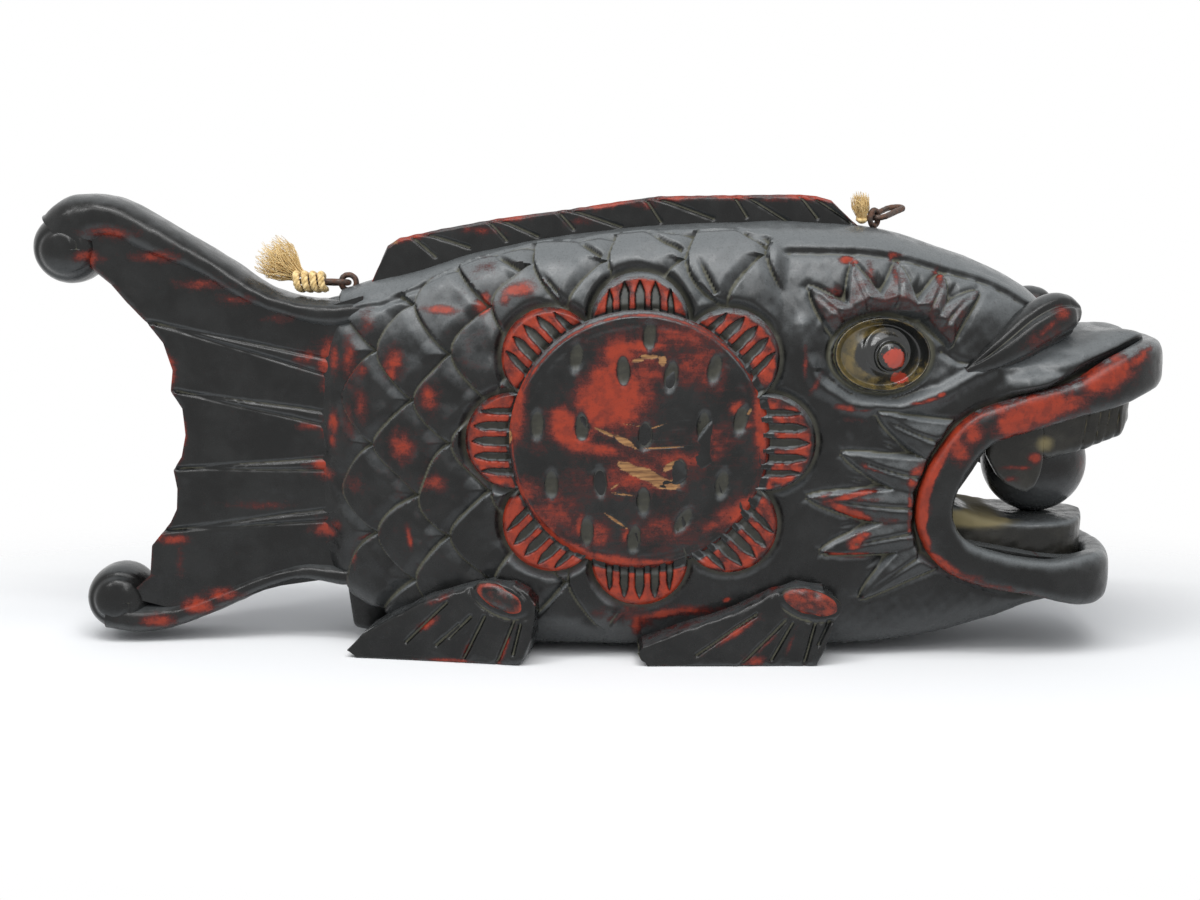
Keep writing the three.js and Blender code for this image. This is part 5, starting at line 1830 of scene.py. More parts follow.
@dataclass
class Tail:
    """Scalloped web with cut rays between two rolled lobes, and the keel under its root."""

    form: TrunkForm = TrunkForm()
    half: float = 15.0
    rim: float = 3.0
    edge: tuple[Point, ...] = (
        (-270, 212), (-262, 198), (-252, 190), (-244, 180.5), (-234.5, 170.5), (-226.5, 160), (-222, 146),
        (-223.5, 135), (-218, 126), (-216.8, 112), (-219, 101), (-223.5, 94), (-222, 84), (-223, 73),
        (-226.5, 66), (-236.5, 54), (-238, 38), (-252, 26),
    )
    top: tuple[Point, ...] = (
        (-270, 212), (-257, 217), (-245, 216), (-210, 200), (-178, 182), (-150, 177), (-122, 184),
    )
    foot: tuple[Point, ...] = ((-254, 24), (-230, 16), (-205, 22), (-180, 30), (-150, 34), (-122, 32))
    rays: tuple[tuple[Point, Point, Point], ...] = (
        ((-233.5, 170.5), (-136, 141), (-137, 150.5)), ((-222, 134.5), (-139, 123), (-136, 114.5)),
        ((-222, 93.5), (-138, 99.5), (-136, 92.5)), ((-231, 60), (-138, 72.5), (-136, 66)),
    )
    upper_lobe: tuple[tuple[float, float, float, float], ...] = (
        (-275, 213, 17.5, 20), (-267, 221, 15, 20), (-250, 223, 11, 20), (-226, 211, 9.5, 19),
        (-202, 198.5, 8, 18.5), (-178, 183.5, 7, 18), (-158, 176.5, 7, 18), (-138, 174, 8, 20),
        (-122, 176, 7, 20),
    )
    lower_lobe: tuple[tuple[float, float, float, float], ...] = (
        (-262, 14, 9, 20), (-246, 11.5, 8.6, 20), (-226, 14, 7.5, 19), (-204, 22, 6.5, 18.5),
        (-180, 32, 6, 18), (-158, 38, 6, 19), (-136, 36, 7, 21), (-122, 36, 7, 20),
    )
    upper_knob: tuple[float, float, float, float] = (-275.0, 208.0, 18.4, 22.0)
    lower_knob: tuple[float, float, float, float] = (-257.0, 22.0, 17.6, 21.0)
    keel: tuple[Point, ...] = (
        (-142, 44), (-135, 30), (-132, 6), (-122, 4), (-110, 10), (-92, 16), (-92, 40),
    )
    keel_half: float = 10.0
    ray_cut: Point = (1.2, 1.1)
    ray_ridge: Point = (0.6, 2.6)
    curl_cut: Point = (1.1, 1.5)
    wear: tuple[Patch, ...] = patches(
        (-138.9, 150.7, 8, 12, 0.85), (-139, 138, 6, 8, 0.7), (-139.4, 114, 7, 7, 0.75),
        (-144, 95, 9, 6, 0.75), (-142.3, 62, 9, 6, 0.72), (-152, 152, 9, 5, 0.5), (-150, 116, 10, 3, 0.5),
        (-212.6, 20, 10, 5, 0.82), (-234.2, 12, 10, 4, 0.78), (-224.3, 55.3, 8, 3, 0.72),
        (-200, 26, 12, 4, 0.62), (-250, 216, 14, 4, 0.6), (-228, 204, 14, 3.5, 0.6),
        (-205, 190, 14, 3.5, 0.5), (-188, 182, 12, 3, 0.5), (-262, 204, 8, 4, 0.55),
        (-165, 172, 12, 3, 0.4), (-222, 44, 3, 12, 0.35), (-222, 146, 3, 8, 0.42),
        (-219, 112, 3, 8, 0.38), (-180, 74, 20, 3, 0.4),
    )

    def web(self) -> Array:
        """Rows down the web, each out along the near face, round the edge and back.

        Returns:
            The rows.
        """
        rows, across = 300, 120
        edge = np.array(self.edge, dtype=float)
        walked = np.concatenate([[0.0], np.cumsum(np.hypot(*np.diff(edge, axis=0).T))])
        even = np.linspace(0.0, walked[-1], rows)
        ex, ez = np.interp(even, walked, edge[:, 0]), np.interp(even, walked, edge[:, 1])
        down = np.linspace(0.0, 1.0, rows)
        rx, rz = np.full(rows, -122.0), 184.0 - 152.0 * down
        top_z = along(np.linspace(-270, -122, across), tuple(sorted(self.top)))
        foot_z = along(np.linspace(-254, -122, across), tuple(sorted(self.foot)))
        u = np.linspace(0.0, 1.0, across) ** 0.85
        x = ex[:, None] * (1.0 - u) + rx[:, None] * u
        z = ez[:, None] * (1.0 - u) + rz[:, None] * u
        straight_top = ez[0] * (1.0 - u) + rz[0] * u
        straight_foot = ez[-1] * (1.0 - u) + rz[-1] * u
        z += (1.0 - down)[:, None] * (top_z - straight_top) + down[:, None] * (foot_z - straight_foot)
        gone = np.hypot(x - ex[:, None], z - ez[:, None])
        y = self.half - self.rim * (1.0 - rounded(gone / self.rim))
        cut_in = np.zeros_like(x)
        for start, low_end, high_end in self.rays:
            for end in (low_end, high_end):
                cut_in += welt(line_distance(x, z, (start, end)), self.ray_cut)
            middle = ((low_end[0] + high_end[0]) / 2.0, (low_end[1] + high_end[1]) / 2.0)
            cut_in -= welt(line_distance(x, z, (start, middle)), self.ray_ridge) * smooth(-225, -190, x)
        y += tooled(51, (0.5, 45.0), (0.10, 8.0), x, z) - cut_in + 1.5 * smooth(-165.0, -130.0, x)
        near, far = rows_of(x, -y, z), rows_of(x, y, z)
        return np.concatenate([near[:, ::-1], far, near[:, -1:]], axis=1)

    def lobe(self, stations: tuple[tuple[float, float, float, float], ...], sides: int = 96) -> Array:
        """Rings along a lobe, wide in Y and rounded, with a flat to its near and far faces.

        Args:
            stations: middle, half width and half thickness along the lobe.
            sides: points round a ring.

        Returns:
            The rings.
        """
        held = spline(np.array(stations, dtype=float), 150)
        heading = unit(np.gradient(held[:, :2], axis=0))
        turn = full_turn(sides)
        out = squarer(np.cos(turn), 0.85) * held[:, 2:3]
        y = squarer(np.sin(turn), 0.8) * held[:, 3:4]
        x, z = held[:, 0:1] - heading[:, 1:2] * out, held[:, 1:2] + heading[:, 0:1] * out
        return raised(rows_of(x, y, z), tooled(61, (0.35, 38.0), (0.10, 9.0), x, y, z) - 0.3)

    def knob(self, centre_x: float, centre_z: float, reach: float, half: float, roll: float) -> Array:
        """Rings of a rolled knob from its near pole to its far one, with a curl cut into each face.

        Args:
            centre_x: its middle along X.
            centre_z: height of its middle.
            reach: its radius.
            half: its half thickness.
            roll: which way its curl turns, 1 or -1.

        Returns:
            The rings.
        """
        fall = np.linspace(0.02, math.pi - 0.02, 90)
        turn = full_turn(180)
        flat = squarer(np.cos(fall), 0.8)[:, None]
        radius = np.sin(fall)[:, None] ** 0.9 * reach
        curl = reach * (0.42 + 0.075 * np.mod(turn * roll, FULL_TURN))
        groove = welt(radius - curl, self.curl_cut) * (np.abs(flat) > 0.5)
        y = np.sign(flat) * groove - half * flat
        return rows_of(centre_x + radius * np.cos(turn), y, centre_z + radius * np.sin(turn))

    def paint(self, place: Array, sharp: Array) -> dict[str, Array]:
        """Masks of the tail."""
        x, _, z = place.T
        return edge_masks(sharp, worn(x, z, self.wear))

    def make(self, shop: Shop) -> None:
        """Make the web, lobes, knobs and keel.

        Args:
            shop: finishes and seats the pieces.
        """
        shapes = {
            "tail_web": self.web(),
            "tail_upper_lobe": self.lobe(self.upper_lobe),
            "tail_lower_lobe": self.lobe(self.lower_lobe),
            "tail_upper_knob": self.knob(*self.upper_knob, 1.0),
            "tail_lower_knob": self.knob(*self.lower_knob, -1.0),
        }
        for name, rows in shapes.items():
            shop.shape(name, rows, Finish.DARK, paint=self.paint)
        keel = plank("tail_keel", self.keel, -self.keel_half, self.keel_half, self.rim)
        shop.fit(keel, Finish.DARK, paint=self.paint)


# The jaws


@dataclass
class Jaws:
    """Lips, gums and fangs."""

    lip_line: tuple[Place, ...] = (
        (284.9, 0, 150), (282.6, -19, 150), (274.3, -33, 148), (259, -40.5, 142), (236, -43.5, 133),
        (210, -45.5, 126), (191, -47, 118.5), (178, -48, 104), (169.5, -48.5, 86), (170, -48.5, 69),
        (181, -47.5, 54.5), (202, -45.5, 46), (224, -43.5, 42), (243, -39.5, 40), (256.5, -28.5, 40),
        (261.5, 0, 40),
    )
    lip_breadth: float = 9.5
    lip_depth: float = 7.7
    plan: Place = (190.0, 100.0, 47.0)
    upper_foot: tuple[Point, ...] = ((198, 121), (212, 108), (229, 99.5), (249, 104.5), (267, 112),
    (273, 120))
    upper_top: float = 140.0
    upper_half: float = 35.0
    fang: tuple[Place, ...] = (
        (197, 104, 116), (199, 100, 119), (203, 94, 121), (208, 89, 122), (213, 86, 123), (218, 84.5, 123),
        (222, 87, 122), (225, 93, 120), (227, 100, 117),
    )
    fang_faces: Point = (29.5, 37.8)
    gum_cuts: tuple[float, ...] = (248.0, 254.5, 259.0, 264.0)
    lower: tuple[float, float, float, float, float] = (168.0, 256.0, 33.0, 46.0, 69.5)
    lower_nose: float = 28.0
    lip_wear: tuple[Patch, ...] = patches(
        (223.3, 131.5, 21.6, 8.6, 1, 15), (206.1, 123.9, 11.5, 8.6, 0.95), (251.6, 144.1, 15.9, 7.2, 1, 20),
        (260.1, 149.2, 5.8, 8.6, 0.85), (269.8, 154.2, 8.6, 3.7, 0.62, 25),
        (274.6, 157.9, 5.8, 1.7, 0.55, 20), (198.3, 129, 8.6, 3.5, 0.8, 15),
        (186.1, 118.8, 7.2, 5.8, 0.72, 40), (178.9, 109.9, 5.8, 7.2, 0.75, 40),
    )
    lip_dark: tuple[Patch, ...] = patches(
        (239.2, 138.8, 8.6, 3.5, 0.8, 10), (232.4, 136.3, 4.3, 4.3, 0.5), (252.5, 137.6, 8.6, 2, 0.4, 12),
        (193.9, 124.9, 6.6, 3.7, 0.8, 30), (223.5, 138.8, 8.6, 2, 0.5, 10), (266.2, 138.8, 7.2, 5.8, 0.6),
    )
    gum_wear: tuple[Patch, ...] = patches(
        (222, 103, 4, 3, 0.9), (212, 98, 8, 1.5, 0.6), (210, 92, 5, 2, 0.5), (262, 108, 6, 3, 0.45),
    )
    stripe: tuple[tuple[Point, ...], ...] = (
        ((40, 0.26), (50, 0.34), (60, 0.6), (68, 0.95), (112, 0.95), (124, 0.5)),
        ((150, 0.95), (172, 0.7), (190, 0.36), (225, 0.3), (240, 0.1)),
    )

    def lips(self) -> Array:
        """Rings of the band that runs round both jaws.

        Returns:
            The rings.
        """
        near = np.array(self.lip_line, dtype=float)
        far = near[-2:0:-1] * (1.0, -1.0, 1.0)
        line = spline(np.concatenate([near, far]), 560, closed=True)
        heading = unit(np.roll(line, -1, axis=0) - np.roll(line, 1, axis=0))
        middle, reach, half = self.plan
        plan = np.stack([(line[:, 0] - middle) / reach**2, line[:, 1] / half**2, 0.0 * line[:, 0]], axis=1)
        across = unit(np.cross(heading, plan))
        out = np.cross(across, heading)
        turn = full_turn(56)
        ahead = np.where(line[:, 2] < 60.0, 0.48 * smooth(222.0, 252.0, line[:, 0]),
                         0.34 * smooth(238.0, 266.0, line[:, 0]))
        breadth = self.lip_breadth * (1.02 + ahead)
        wide = (breadth[:, None] * squarer(np.cos(turn), 0.62))[..., None] * across[:, None]
        deep = (self.lip_depth * squarer(np.sin(turn), 0.72))[:, None] * out[:, None]
        rows = line[:, None] + wide + deep
        rows = np.concatenate([rows, rows[:1]], axis=0)
        uneven = tooled(71, (0.40, 30.0), (0.07, 8.0), *np.moveaxis(rows, -1, 0))
        return raised(rows, np.minimum(uneven, 0.25) - 0.3)

    def paint_lips(self, place: Array, sharp: Array) -> dict[str, Array]:
        """Masks of the lips: a red upper lip, and a red stripe along the cheek's side of the rest.

        Args:
            place: corners of the piece.
            sharp: how sharp each corner is.

        Returns:
            The masks by name.
        """
        x, y, z = place.T
        outer = smooth(34.0, 43.0, np.abs(y) + 0.12 * np.maximum(x - 215.0, 0.0) ** 1.15)
        wear = worn(x, z, self.lip_wear) * (1.0 - 0.8 * worn(x, z, self.lip_dark))
        edge = line_distance(x, z, Carving.lip_edge)
        low_down, forward = self.stripe
        level = np.where(z > 60.0, along(z, low_down), along(x, forward)) * (z < 128.0)
        wear = np.maximum(wear, level * smooth(5.8, 2.2, edge + 0.9 * Ripple(76, 13.0).at(x, z)))
        return edge_masks(0.6 * sharp, wear * (0.15 + 0.85 * outer) + 0.03)

    def gum(self, x: Array, low: Array, high: Array, half: Array, squareness: float) -> Array:
        """Sections of a gum with upright cuts in its sides.

        Args:
            x: places along X.
            low: height of the underside.
            high: height of the top.
            half: half widths.
            squareness: how square a section is.

        Returns:
            The sections.
        """
        rows = capped(oval_rows(x, half, low, high, squareness, squareness, 90))
        px, y, z = np.moveaxis(rows, -1, 0)
        widest = np.interp(px[:, 0], x, half)[:, None]
        side = smooth(0.80, 0.98, np.abs(y) / widest)
        cuts = sum(bump(px - place - 0.12 * (z - 118.0), 0.9) for place in self.gum_cuts)
        uneven = tooled(73, (0.35, 26.0), (0.12, 7.0), px, y, z)
        return raised(rows, uneven - 0.9 * cuts * side * (z > 90.0) - 0.3)

    def upper_gum(self) -> Array:
        """Sections of the palate between the upper lips.

        Returns:
            The sections.
        """
        x = np.linspace(198.0, 273.0, 120)
        low = along(x, self.upper_foot)
        front = np.sqrt(np.clip((273.6 - x) / 8.0, 0.05, 1.0))
        half = self.upper_half * (0.55 + 0.45 * front)
        return self.gum(x, low + 1.0, np.full(len(x), self.upper_top), half, 9.0)

    def lower_gum(self) -> Array:
        """Sections of the thick tongue-shaped gum of the lower jaw.

        Returns:
            The sections.
        """
        rear, front, half, floor, top = self.lower
        nose = front - self.lower_nose * (1.0 - np.sin(np.linspace(0.03, 1.54, 50)))
        x = np.concatenate([np.linspace(rear, front - self.lower_nose, 80), nose])
        share = np.clip((x - front + self.lower_nose) / self.lower_nose, 0.0, 1.0)
        wide = half * np.sqrt(np.clip(1.0 - share**2.4, 0.004, 1.0))
        high = top + along(x, ((168, 10), (180, 10), (196, 3), (214, 0), (256, 0)))
        return self.gum(x, np.full(len(x), floor), high, wide, 7.0)

    def tooth(self, side: Side) -> Array:
        """Sections of one round fang.

        Args:
            side: which flank.

        Returns:
            The sections.
        """
        table = np.array(self.fang, dtype=float)
        x = np.linspace(197.0, 227.0, 60)
        low, high = np.interp(x, table[:, 0], table[:, 1]), np.interp(x, table[:, 0], table[:, 2])
        inner, outer = self.fang_faces
        ends = np.sqrt(np.clip(1.0 - np.abs((x - 212.0) / 15.3) ** 4, 0.05, 1.0))
        half, middle = (outer - inner) / 2.0 * ends, side.value * (inner + outer) / 2.0
        rows = oval_rows(x, half, low, high, 5.0, 5.0, 46, middle)
        return raised(rows, 0.2 * Ripple(75, 14.0).at(rows[..., 0], rows[..., 2]) - 0.2)

    def paint_gums(self, place: Array, sharp: Array) -> dict[str, Array]:
        """Masks of the gums and fangs: dusty in the corners, a little red.

        Args:
            place: corners of the piece.
            sharp: how sharp each corner is.

        Returns:
            The masks by name.
        """
        x, y, z = place.T
        flat = np.abs(y)
        dust = Patch(227, 110, 6, 5, 0.8).at(x, z)
        dust += 1.1 * bump(z - 71.0, 3.0) * smooth(225, 196, x) * (z < 90)
        dust += 0.8 * Patch(196, 70, 22, 6).at(x, z) * (flat > 24)
        masks = edge_masks(sharp, worn(x, z, self.gum_wear))
        masks["grime"] = np.maximum(masks["grime"], dust)
        return masks

    def make(self, shop: Shop) -> None:
        """Make lips, gums and fangs.

        Args:
            shop: finishes and seats the pieces.
        """
        shapes = {
            "lips": (self.lips(), self.paint_lips),
            "upper_gum": (self.upper_gum(), self.paint_gums),
            "lower_gum": (self.lower_gum(), self.paint_gums),
            "fang_near": (self.tooth(Side.NEAR), self.paint_gums),
            "fang_far": (self.tooth(Side.FAR), self.paint_gums),
        }
        for name, (rows, paint) in shapes.items():
            shop.shape(name, rows, Finish.LACQUER if name == "lips" else Finish.GUM, paint=paint)


@dataclass
class Nostrils:
    """A rolled leaf over each nostril: a hood round a raised inner tongue."""

    line: tuple[tuple[float, float, float, float], ...] = (
        (184, 43.5, 148, 2.0), (195, 41.5, 153, 6.5), (207, 37, 160, 9.8), (219, 32, 168, 12.0),
        (229.5, 28, 173.5, 12.6), (237, 25.5, 175.5, 10.6), (242, 24.5, 176, 6.5), (243.6, 24, 176, 3.0),
    )
    tongue: Patch = Patch(222, 165, 16, 7, 0.34, 35)
    wear: tuple[Patch, ...] = patches((232, 177, 5, 4, 0.66), (224, 170, 8, 2.5, 0.58, 38))

    def rows(self, side: Side) -> Array:
        """Rings along one leaf, with the creases beside its tongue.

        Args:
            side: which flank.

        Returns:
            The rings.
        """
        held = spline(np.array(self.line, dtype=float), 150)
        centre = held[:, :3] * (1.0, side.value, 1.0)
        heading = unit(np.gradient(centre, axis=0))
        across = unit(np.cross([0.0, 1.0, 0.0], heading))
        out = np.cross(heading, across) * -side.value
        out *= np.sign((out[:, 1] * side.value).sum())
        turn = full_turn(120)
        up = across * np.sign(across[:, 2].sum())
        ring = np.cos(turn)[None, :, None] * out[:, None] + np.sin(turn)[None, :, None] * up[:, None]
        share = np.linspace(0.0, 1.0, len(held))[:, None]
        angle = (turn + math.pi) % FULL_TURN - math.pi
        radius = held[:, 3:4] * np.ones_like(turn)
        fade = smooth(0.02, 0.2, share) * smooth(1.0, 0.86, share)
        upper = bump(angle - (0.75 - 0.25 * share), 0.17) * fade
        lower = bump(angle + (0.95 - 0.1 * share), 0.16) * fade
        tongue = smooth(0.78, 0.4, np.abs(angle + 0.1)) * smooth(0.1, 0.4, share) * smooth(1.0, 0.8, share)
        radius = radius - 1.9 * upper - 1.7 * lower + 0.7 * tongue
        return centre[:, None] + ring * radius[..., None]

    def paint(self, place: Array, sharp: Array) -> dict[str, Array]:
        """Masks of the leaves: a red-brown tongue.

        Args:
            place: corners of the piece.
            sharp: how sharp each corner is.

        Returns:
            The masks by name.
        """
        x, y, z = place.T
        tongue = self.tongue.at(x, z) * (np.abs(y) > 30)
        return edge_masks(sharp, np.maximum(tongue, worn(x, z, self.wear)))

    def make(self, shop: Shop) -> None:
        """Make both leaves."""
        for side in Side:
            shop.shape(f"nostril_{side.label}", self.rows(side), Finish.DARK, paint=self.paint)


@dataclass
class MouthBall:
    """Loose ball in the jaws."""

    centre: Place = (230.5, 0.0, 95.9)
    radius: float = 27.2

    def paint(self, place: Array, sharp: Array) -> dict[str, Array]:
        """Masks of the ball: almost all black, a little red where it strikes.

        Args:
            place: corners of the piece.
            sharp: how sharp each corner is; not used.

        Returns:
            The masks by name.
        """
        x, y, z = place.T
        spots = 0.28 * smooth(0.6, 1.4, Ripple(81, 26.0).at(x, y, z))
        return {"wear": spots, "bare": 0.0 * x, "grime": 0.22 * smooth(84.0, 70.0, z)}

    def make(self, shop: Shop) -> None:
        """Make the ball.

        Args:
            shop: finishes and seats the pieces.
        """
        deselect()
        bpy.ops.mesh.primitive_uv_sphere_add(segments=128, ring_count=64, radius=self.radius * MM)
        piece = bpy.context.object
        piece.name = "ball"
        piece.data.transform(Matrix.Translation(Vector(self.centre) * MM))
        shop.fit(piece, Finish.RED, "mouth_ball", "ball", self.paint)


# The fins


@dataclass
class DorsalFin:
    """Low board let into the back, with pairs of slanting cuts."""

    form: TrunkForm = TrunkForm()
    top: tuple[Point, ...] = (
        (-119, 190.5), (-117, 195), (-110.5, 209), (-104, 213), (-83, 218), (-52, 223), (-20, 227.5),
        (10, 232),
        (30, 234.4), (60, 235.2), (104, 235.2), (112, 234.5), (120, 232.5), (134, 219),
    )
    half: float = 6.3
    let: float = 6.0
    edge_wear: tuple[Point, ...] = ((-119, 0.35), (-60, 0.5), (0, 0.58), (40, 0.72), (80, 0.7), (134, 0.5))
    wear: tuple[Patch, ...] = patches(
        (-62, 217, 14, 3, 0.42), (-10, 222, 10, 3, 0.36), (22, 230, 9, 3, 0.4), (90, 233, 10, 2, 0.4),
    )
    bare: Patch = Patch(-108, 211, 5, 2.5, 0.7)
    cuts: tuple[tuple[Point, Point], ...] = (
        ((-98.2, 214.6), (-85.348, 203.575)), ((-92.309, 216.175), (-67.677, 208.3)),
        ((-57.502, 221.95), (-48.399, 211.975)), ((-52.147, 223.0), (-32.334, 214.075)),
        ((-22.159, 227.725), (-13.591, 217.75)), ((-17.875, 228.775), (11.042, 218.8)),
        ((22.823, 234.55), (31.391, 221.425)), ((26.036, 235.075), (58.701, 223.0)),
        ((68.876, 235.075), (75.837, 224.05)), ((74.231, 235.6), (97.257, 221.425)),
        ((102.612, 235.6), (112.251, 223.525)), ((107.967, 235.6), (129.387, 221.425)),
    )

    def rows(self) -> Array:
        """Sections of the fin with its cuts.

        Returns:
            The sections.
        """
        x = np.linspace(self.top[0][0], self.top[-1][0], 420)
        low = self.form.ridge(x) - self.let
        rows = oval_rows(x, np.full(len(x), self.half), low, along(x, self.top), 7.0, 9.0, 60)
        px, y, z = np.moveaxis(rows, -1, 0)
        cut_in = np.zeros_like(px)
        for ends in self.cuts:
            cut_in = np.maximum(cut_in, bump(line_distance(px, z, ends), 0.95))
        uneven = tooled(91, (0.25, 40.0), (0.10, 7.0), px, y, z)
        thin = 0.6 * smooth(0.0, 1.0, (z - self.form.ridge(px)) / 18.0) * (np.abs(y) > 2.0)
        return raised(rows, uneven - 1.5 * cut_in * (np.abs(y) > 3.5) - thin - 0.15)

    def paint(self, place: Array, sharp: Array) -> dict[str, Array]:
        """Masks of the fin: red along its worn top edge, and bare wood at its rear end.

        Args:
            place: corners of the piece.
            sharp: how sharp each corner is.

        Returns:
            The masks by name.
        """
        x, _, z = place.T
        level = along(x, self.edge_wear) + 0.28 * Ripple(93, 24.0).at(x, z)
        wear = np.maximum(level * bump(along(x, self.top) - z, 2.6), worn(x, z, self.wear))
        return edge_masks(sharp, wear, self.bare.at(x, z))

    def make(self, shop: Shop) -> None:
        """Make the fin."""
        shop.shape("dorsal_board", self.rows(), Finish.DARK, "dorsal_fin", paint=self.paint)


@dataclass(frozen=True)
class FinSizes:
    """One standing fin: its outline from the side, its faces, turn, knob and ray cuts."""

    name: str
    top: tuple[Point, ...]
    foot: tuple[Point, ...]
    face: float
    turn: float
    turn_about: float
    knob: tuple[float, float, float, float, float]
    rays: tuple[tuple[Point, Point], ...]
    wear: tuple[Patch, ...]
    level: float
    rim: float
    root: float = 26.0


PECTORAL = FinSizes(
    name="pectoral",
    top=((18.9, 8), (21, 11.5), (43.7, 20.6), (69.8, 30.5), (88, 40), (99, 44), (113, 42), (119, 37.5),
         (121.6, 34)),
    foot=((18.9, 6), (20.4, 2.5), (24, 0), (110, 0), (113.9, 7.9), (118, 21), (121.6, 27)),
    face=62.0, turn=0.0, turn_about=70.0, knob=(106.5, 33.0, 15.8, 7.6, -14.0),
    rays=(((49, 6), (78.6, 27)), ((71, 0.3), (93.5, 23.8)), ((86.8, 3.4), (97, 22.4)), ((103.5, 2),
          (108.4, 21.5)),
          ((110.4, 11.5), (115.7, 23.3))),
    wear=patches((68, 17.5, 13, 2.2, 0.72, 35), (78, 3, 6, 3, 0.6), (96, 12, 1.4, 9, 0.42, -20),
                 (90, 40, 8, 1.4, 0.4, 25), (84, 12, 8, 1.2, 0.45, 45)),
    level=0.47, rim=0.1,
)
PELVIC = FinSizes(
    name="pelvic",
    top=((-131.4, 4.8), (-124, 13.5), (-110, 22.5), (-90, 33.5), (-64, 43), (-54, 44.3), (-43.5, 43),
         (-36, 38.5),
         (-32.5, 34)),
    foot=((-131.4, 3.4), (-127, 0), (-42, 0), (-39.5, 1.5), (-34.2, 13.3), (-32.5, 24)),
    face=58.0, turn=10.0, turn_about=-60.0, knob=(-50.0, 34.5, 14.5, 7.0, -24.0),
    rays=(((-100, 9.7), (-78.5, 31.4)), ((-77, 13.3), (-66, 24.5)), ((-70, 2), (-58.6, 25)),
          ((-52.3, 1.2), (-43.7, 22.4)), ((-44, 6), (-40.2, 21.5)), ((-84, 9), (-72, 20))),
    wear=patches((-87.4, 20, 8, 2.2, 0.68, 35), (-76.4, 1.2, 12, 1.6, 0.72), (-68, 7, 1.8, 6, 0.55, -20),
                 (-48.5, 8, 1.6, 8, 0.66, -20), (-81, 33, 8, 1.6, 0.5, 25)),
    level=0.26, rim=0.42,
)


@dataclass
class StandingFin:
    """A carved fin that the fish stands on, with rays and a leaf-shaped knob."""

    sizes: FinSizes
    side: Side

    def turned(self, points: Array) -> Array:
        """Points turned about the fin's own upright line and set on its side of the fish.

        Args:
            points: points of the fin before it is turned.

        Returns:
            The turned points.
        """
        s = self.sizes
        angle = math.radians(-s.turn)
        x, y, z = np.moveaxis(points, -1, 0)
        ox, oy = x - s.turn_about, y + s.face
        tx = ox * math.cos(angle) - oy * math.sin(angle) + s.turn_about
        ty = ox * math.sin(angle) + oy * math.cos(angle) - s.face
        return np.stack([tx, -self.side.value * ty, z], axis=-1)

    def blade(self) -> Array:
        """Sections of the blade with its ray cuts.

        Returns:
            The sections.
        """
        s = self.sizes
        x = np.linspace(s.top[0][0], s.top[-1][0], 240)
        half = (s.face - s.root) / 2.0
        rows = oval_rows(x, np.full(len(x), half), along(x, s.foot), along(x, s.top), 6.0, 14.0, 90,
                         -(s.face + s.root) / 2.0)
        px, y, z = np.moveaxis(rows, -1, 0)
        outer = smooth(-s.root - 12.0, -s.face + 8.0, y)
        cut_in = np.zeros_like(px)
        rib = np.zeros_like(px)
        for start, end in s.rays:
            away = line_distance(px, z, (start, end))
            cut_in = np.maximum(cut_in, bump(away, 1.0))
            rib = np.maximum(rib, bump(away - 2.6, 1.5))
        kx, kz, long, short, tilt = s.knob
        a, b = offsets(px, z, (kx, kz), tilt)
        moat = bump(np.hypot(a / (long + 2.0), b / (short + 2.0)) - 1.0, 0.13)
        uneven = tooled(101, (0.3, 30.0), (0.10, 7.0), px, y, z)
        relief = uneven + (0.3 * rib - 1.6 * cut_in - 1.2 * moat) * outer - 0.6
        return self.turned(raised(rows, relief * smooth(0.2, 1.6, z)))

    def boss(self) -> Array:
        """Rings of the leaf-shaped knob on the outer face.

        Returns:
            The rings.
        """
        s = self.sizes
        kx, kz, long, short, tilt = s.knob
        fall = np.linspace(0.03, math.pi - 0.03, 60)[:, None]
        turn = full_turn(120)
        pointed = 1.0 - 0.10 * np.abs(np.sin(turn)) ** 3
        a = np.sin(fall) ** 0.9 * np.cos(turn) * long
        b = np.sin(fall) ** 0.9 * np.sin(turn) * short * pointed
        across, up = offsets(a, b, (0.0, 0.0), -tilt)
        lift = 3.0 - 5.1 * np.cos(fall) * (1.0 - 0.25 * np.sin(fall))
        y = lift - s.face + 0.25 * Ripple(103, 9.0).at(a, b)
        return self.turned(rows_of(kx + across, y, kz + up))

    def paint(self, place: Array, sharp: Array) -> dict[str, Array]:
        """Masks of the blade: red by the outer ridge and between some rays.

        Args:
            place: corners of the piece.
            sharp: how sharp each corner is.

        Returns:
            The masks by name.
        """
        x, _, z = place.T
        s = self.sizes
        wear = np.maximum(0.3 * bump(along(x, s.top) - z, 1.6), worn(x, z, s.wear))
        return edge_masks(sharp, wear)

    def paint_boss(self, place: Array, sharp: Array) -> dict[str, Array]:
        """Masks of the knob: red nearly all over.

        Args:
            place: corners of the piece.
            sharp: how sharp each corner is; not used.

        Returns:
            The masks by name.
        """
        x, _, z = place.T
        kx, kz, long, short, tilt = self.sizes.knob
        a, b = offsets(x, z, (kx, kz), tilt)
        share = np.hypot(a / long, b / short)
        red = self.sizes.level + self.sizes.rim * bump(share - 0.82, 0.13)
        return {"wear": (red + 0.07 * Ripple(104, 5.0).at(x, z)) * smooth(1.02, 0.85, share),
                "bare": 0.0 * x, "grime": 0.30 + 0.3 * smooth(0.9, 1.05, share)}

    def make(self, shop: Shop) -> None:
        """Make the blade and its knob.

        Args:
            shop: finishes and seats the pieces.
        """
        node = f"{self.sizes.name}_fin_{self.side.label}"
        parts = {"blade": (self.blade(), self.paint), "knob": (self.boss(), self.paint_boss)}
        for name, (rows, paint) in parts.items():
            shop.shape(f"{node}_{name}", rows, Finish.DARK, node, paint=paint)


